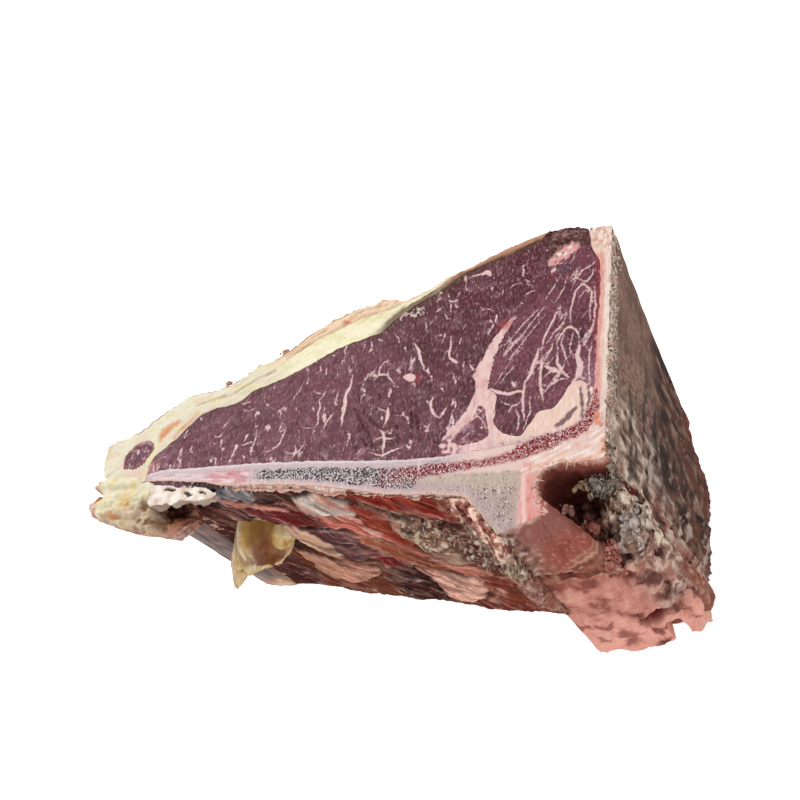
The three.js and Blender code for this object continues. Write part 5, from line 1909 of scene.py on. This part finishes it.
# Crumbs and shreds
crumbClusters = [  # centre, spread, number, smallest and largest half size, two colours, all in millimetres
    ((62.5, -36.6, 88), (4.5, 1.0, 1.8), 70, 0.4, 1.5, (186, 118, 106), (130, 70, 62)),
    ((56.6, -29.8, 107), (0.9, 0.9, 1.4), 14, 0.5, 1.5, (206, 164, 152), (150, 96, 88)),
    ((61.6, -33.0, 99), (1.4, 0.9, 1.4), 16, 0.5, 1.6, (206, 150, 136), (150, 92, 82)),
    ((67.0, -39.4, 91.0), (1.5, 2.3, 1.8), 300, 0.3, 1.3, (228, 164, 150), (160, 90, 80)),
    ((65.6, -39.2, 80), (1.6, 0.8, 3.0), 70, 0.3, 1.0, (216, 148, 132), (160, 94, 84)),
    ((74.0, -29.0, 93), (1.4, 3.2, 4.2), 240, 0.4, 1.5, (238, 230, 220), (166, 140, 126)),
    ((74.6, -34.0, 90), (1.4, 2.0, 3.0), 260, 0.4, 1.5, (236, 222, 208), (160, 122, 106)),
    ((68.5, -22.2, 106), (2.8, 1.6, 3.2), 110, 0.3, 1.2, (202, 190, 174), (112, 90, 80)),
    ((72.4, -17.5, 109), (0.6, 3.0, 4.0), 90, 0.3, 1.0, (190, 172, 158), (116, 92, 82)),
    ((61.6, -21.6, 107), (1.4, 0.9, 1.6), 20, 0.4, 1.2, (222, 196, 162), (176, 134, 104)),
    ((36.5, -41.2, 112), (2.8, 1.2, 3.4), 90, 0.25, 0.9, (226, 204, 192), (140, 108, 96)),
    ((30, -41.5, 100), (4.0, 1.6, 7), 110, 0.25, 1.0, (222, 206, 190), (132, 104, 88)),
    ((56.5, 59.5, 119.8), (4.5, 3.0, 0.4), 26, 0.2, 0.6, (228, 186, 176), (150, 104, 96)),
    ((56, 70.6, 119.0), (5.0, 0.5, 0.8), 70, 0.2, 0.6, (226, 186, 174), (150, 108, 96)),
    ((72.7, 28, 116.5), (0.4, 22, 2.4), 560, 0.15, 0.6, (250, 238, 228), (206, 176, 158)),
    ((71.4, -8, 118.6), (0.7, 4, 1.0), 60, 0.2, 0.7, (246, 228, 214), (226, 170, 146)),
    ((1.0, 44.6, 120.2), (1.5, 1.0, 0.2), 14, 0.4, 0.9, (244, 232, 222), (226, 200, 186)),
    ((-77.5, 25.4, 118.6), (0.9, 0.6, 0.5), 9, 0.4, 0.9, (232, 190, 172), (206, 150, 132)),
    ((-54.5, 36.6, 118.4), (1.0, 0.9, 0.5), 10, 0.4, 0.9, (232, 190, 170), (206, 146, 128)),
]


def crumbs(name, clusters, slot, seed):
    # uneven lumps thrown round each centre
    shape = bmesh.new()
    bmesh.ops.create_icosphere(shape, subdivisions=2, radius=1)
    ball = np.array([v.co for v in shape.verts])
    faces = np.array([[v.index for v in f.verts] for f in shape.faces])
    shape.free()
    rng = np.random.default_rng(seed)
    points, colours = [], []
    for centre, spread, count, low, high, one, other in clusters:
        spots = np.array(centre) + np.clip(rng.normal(size=(count, 3)), -1.7, 1.7) * spread
        sizes = low + (high - low) * rng.random((count, 1, 1)) ** 2
        turn = np.linalg.qr(rng.normal(size=(count, 3, 3)))[0]
        turn = turn * np.linalg.det(turn)[:, None, None]
        lump = (ball * (0.35 + 0.9 * rng.random((count, 1, 3)))) @ turn
        own = lump * 2.4 + 30 * rng.random((count, 1, 3))
        rough = fbm(1, seed, own[..., 0], own[..., 1], own[..., 2], 2)
        points.append((spots[:, None] + lump * sizes * (1 + 0.95 * rough[..., None])).reshape(-1, 3))
        share = np.clip(rng.random((count, 1)) + 0.8 * rough, 0, 1).ravel()
        colours.append(over(one, other, share))
    points = np.concatenate(points)
    number = len(points) // len(ball)
    triangles = (faces[None] + len(ball) * np.arange(number)[:, None, None]).reshape(-1, 3)
    looks = {"paint": np.concatenate(colours), "wet": 0.15}
    makeMesh(name, points, triangles, looks, shredMaterial, sharp=25)


def shreds(name, roots, ways, lengths, widths, colours, seed, rings=5):
    # bent threads that taper: from each root along its way, with four sides and a closed end
    rng = np.random.default_rng(seed)
    count = len(roots)
    way = ways / np.linalg.norm(ways, axis=1, keepdims=True)
    side = np.cross(way, rng.normal(size=(count, 3)))
    side /= np.linalg.norm(side, axis=1, keepdims=True)
    flat = np.cross(way, side)
    s = np.linspace(0, 1, rings)[None, :, None]
    spine = way[:, None] * s + 0.3 * rng.normal(size=(count, 1, 3)) * s**2
    spine = roots[:, None] + lengths[:, None, None] * spine
    half = (widths[:, None, None] * (1 - 0.85 * s**1.3))[..., None]
    corner = np.arange(4) * np.pi / 2
    around = np.cos(corner)[:, None] * side[:, None] + 0.5 * np.sin(corner)[:, None] * flat[:, None]
    points = (spine[:, :, None] + half * around[:, None]).reshape(-1, 3)
    low, high = np.meshgrid(np.arange(rings - 1) * 4, np.arange(4), indexing="ij")
    a, b = (low + high).ravel(), (low + (high + 1) % 4).ravel()
    last = 4 * (rings - 1)
    ends = np.array([[0, 3, 2], [0, 2, 1], [last, last + 1, last + 2], [last, last + 2, last + 3]])
    one = np.concatenate([quadTriangles(a, b, b + 4, a + 4), ends])
    triangles = (one[None] + 4 * rings * np.arange(count)[:, None, None]).reshape(-1, 3)
    share = np.repeat(rng.random(count) ** 1.5, 4 * rings)
    looks = {"paint": over(*colours, share), "wet": 0.2}
    makeMesh(name, points, triangles, looks, shredMaterial, sharp=80)


def fringe(name, edge, count, longest, widest, colours, seed):
    # shreds of bone along an edge of the fresh face, that point to its right
    rng = np.random.default_rng(seed)
    pick = rng.integers(1, len(edge) - 1, count)
    ahead = edge[pick + 1] - edge[pick - 1]
    ahead /= np.hypot(*ahead.T)[:, None]
    outward = np.stack([ahead[:, 1], -ahead[:, 0]], 1)
    sideways = outward + 0.45 * rng.normal(size=(count, 1)) * ahead
    ways = np.column_stack([sideways, rng.normal(-0.1, 0.25, count)])
    lengths = longest * (0.2 + 0.8 * rng.random(count) ** 2.5)
    flat = edge[pick] - 0.35 * outward
    dx, dy = wander(flat[:, 0], flat[:, 1], np.full(count, length))
    roots = np.stack(shaped(flat[:, 0] + dx, flat[:, 1] + dy, length - 0.1 - 0.5 * rng.random(count)), 1)
    widths = widest * (0.4 + 0.6 * rng.random(count))
    shreds(name, roots, ways, lengths, widths, colours, seed + 1)


lipEdge = joined(boneFoot, bevelOpen)
fringe("spineShreds", curve([(72, -11), (72, 66)]), 150, 2.2, 0.32, ((240, 220, 206), (206, 160, 146)), 301)
for number, (low, high) in enumerate(((46.5, 49.5), (21, 23), (15, 18), (0, 8))):
    fringe(f"spineTatters{number + 1}", curve([(72, low), (72, high)]), 16, 3.4, 0.75,
           ((238, 216, 198), (196, 140, 120)), 305 + 2 * number)
fringe("lipShreds", lipEdge, 520, 1.7, 0.26, ((246, 226, 216), (222, 160, 138)), 315)
fringe("lipTatters", resampled(lipEdge, 300)[60:190], 60, 3, 0.5, ((246, 222, 208), (214, 140, 112)), 317)
fringe("canalShreds", canalOpen, 110, 2.6, 0.36, ((248, 222, 204), (222, 140, 108)), 319)
crumbs("crumbs", crumbClusters, "dried_fat", 321)

# Torn threads in the mouth of the canal and below it
threadClusters = [  # centre, spread, number, longest
    ((68.5, -22.5, 106), (2.6, 1.6, 3.0), 150, 3.6), ((72.6, -24, 100), (0.8, 3.4, 4.4), 150, 3.4),
    ((73.0, -29, 92), (1.2, 2.4, 3.4), 110, 2.4), ((72.6, -15, 110), (0.3, 4.0, 4.0), 90, 2.6),
]


def threads(name, clusters, colours, seed):
    rng = np.random.default_rng(seed)
    roots, lengths = [], []
    for centre, spread, count, longest in clusters:
        roots.append(np.array(centre) + np.clip(rng.normal(size=(count, 3)), -1.7, 1.7) * spread)
        lengths.append(longest * (0.2 + 0.8 * rng.random(count) ** 2))
    roots, lengths = np.concatenate(roots), np.concatenate(lengths)
    ways = rng.normal(size=(len(roots), 3)) * (0.7, 1.0, 0.8)
    shreds(name, roots, ways, lengths, 0.15 + 0.4 * rng.random(len(roots)) ** 2, colours, seed + 1)


threads("canalThreads", threadClusters, ((228, 216, 200), (150, 126, 112)), 331)
print("crumbs and shreds done")

# Floor, light and camera
floorMesh = bpy.data.meshes.new("floor")
floorCorners = [(3 * x, 3 * y, -0.0002) for x, y in ((-1, -1), (1, -1), (1, 1), (-1, 1))]
floorMesh.from_pydata(floorCorners, [], [(0, 1, 2, 3)])
floor = placed("floor", floorMesh)
floorMaterial, floorKit, floorShader = newMaterial("floor")
floorKit.fill(floorShader, {"Base Color": (0.5, 0.5, 0.5, 1), "Emission Color": (1, 1, 1, 1),
                            "Emission Strength": 0.85, "Roughness": 0.9, "Specular IOR Level": 0})
floorMesh.materials.append(floorMaterial)

world = bpy.data.worlds.new("world")
world.use_nodes = True
Nodes(world.node_tree).fill(world.node_tree.nodes["Background"], {"Color": (1, 1, 1, 1), "Strength": 1})
bpy.context.scene.world = world

keyLight = {"place": (-0.35, 0.25, 0.75), "target": (-0.02, 0.01, 0.06), "size": 0.5, "power": 4.5}
light = bpy.data.lights.new("keyLight", "AREA")
light.size = keyLight["size"]
light.energy = keyLight["power"]
lamp = placed("keyLight", light)
lamp.location = keyLight["place"]
lamp.rotation_mode = "QUATERNION"
away = np.subtract(keyLight["place"], keyLight["target"])
lamp.rotation_quaternion = Vector(away).to_track_quat("Z", "Y")

camera = placed("camera", bpy.data.cameras.new("camera"))
camera.data.lens = 45
camera.data.sensor_width = 36
camera.matrix_world = Matrix((
    (0.90188267, 0.09391529, 0.42164864, 0.14609),
    (0.12418178, 0.87851472, -0.46129249, -0.15183),
    (-0.41374696, 0.46839278, 0.78065463, 0.39237),
    (0, 0, 0, 1),
))
bpy.context.scene.camera = camera
bpy.context.scene.view_settings.view_transform = "Standard"
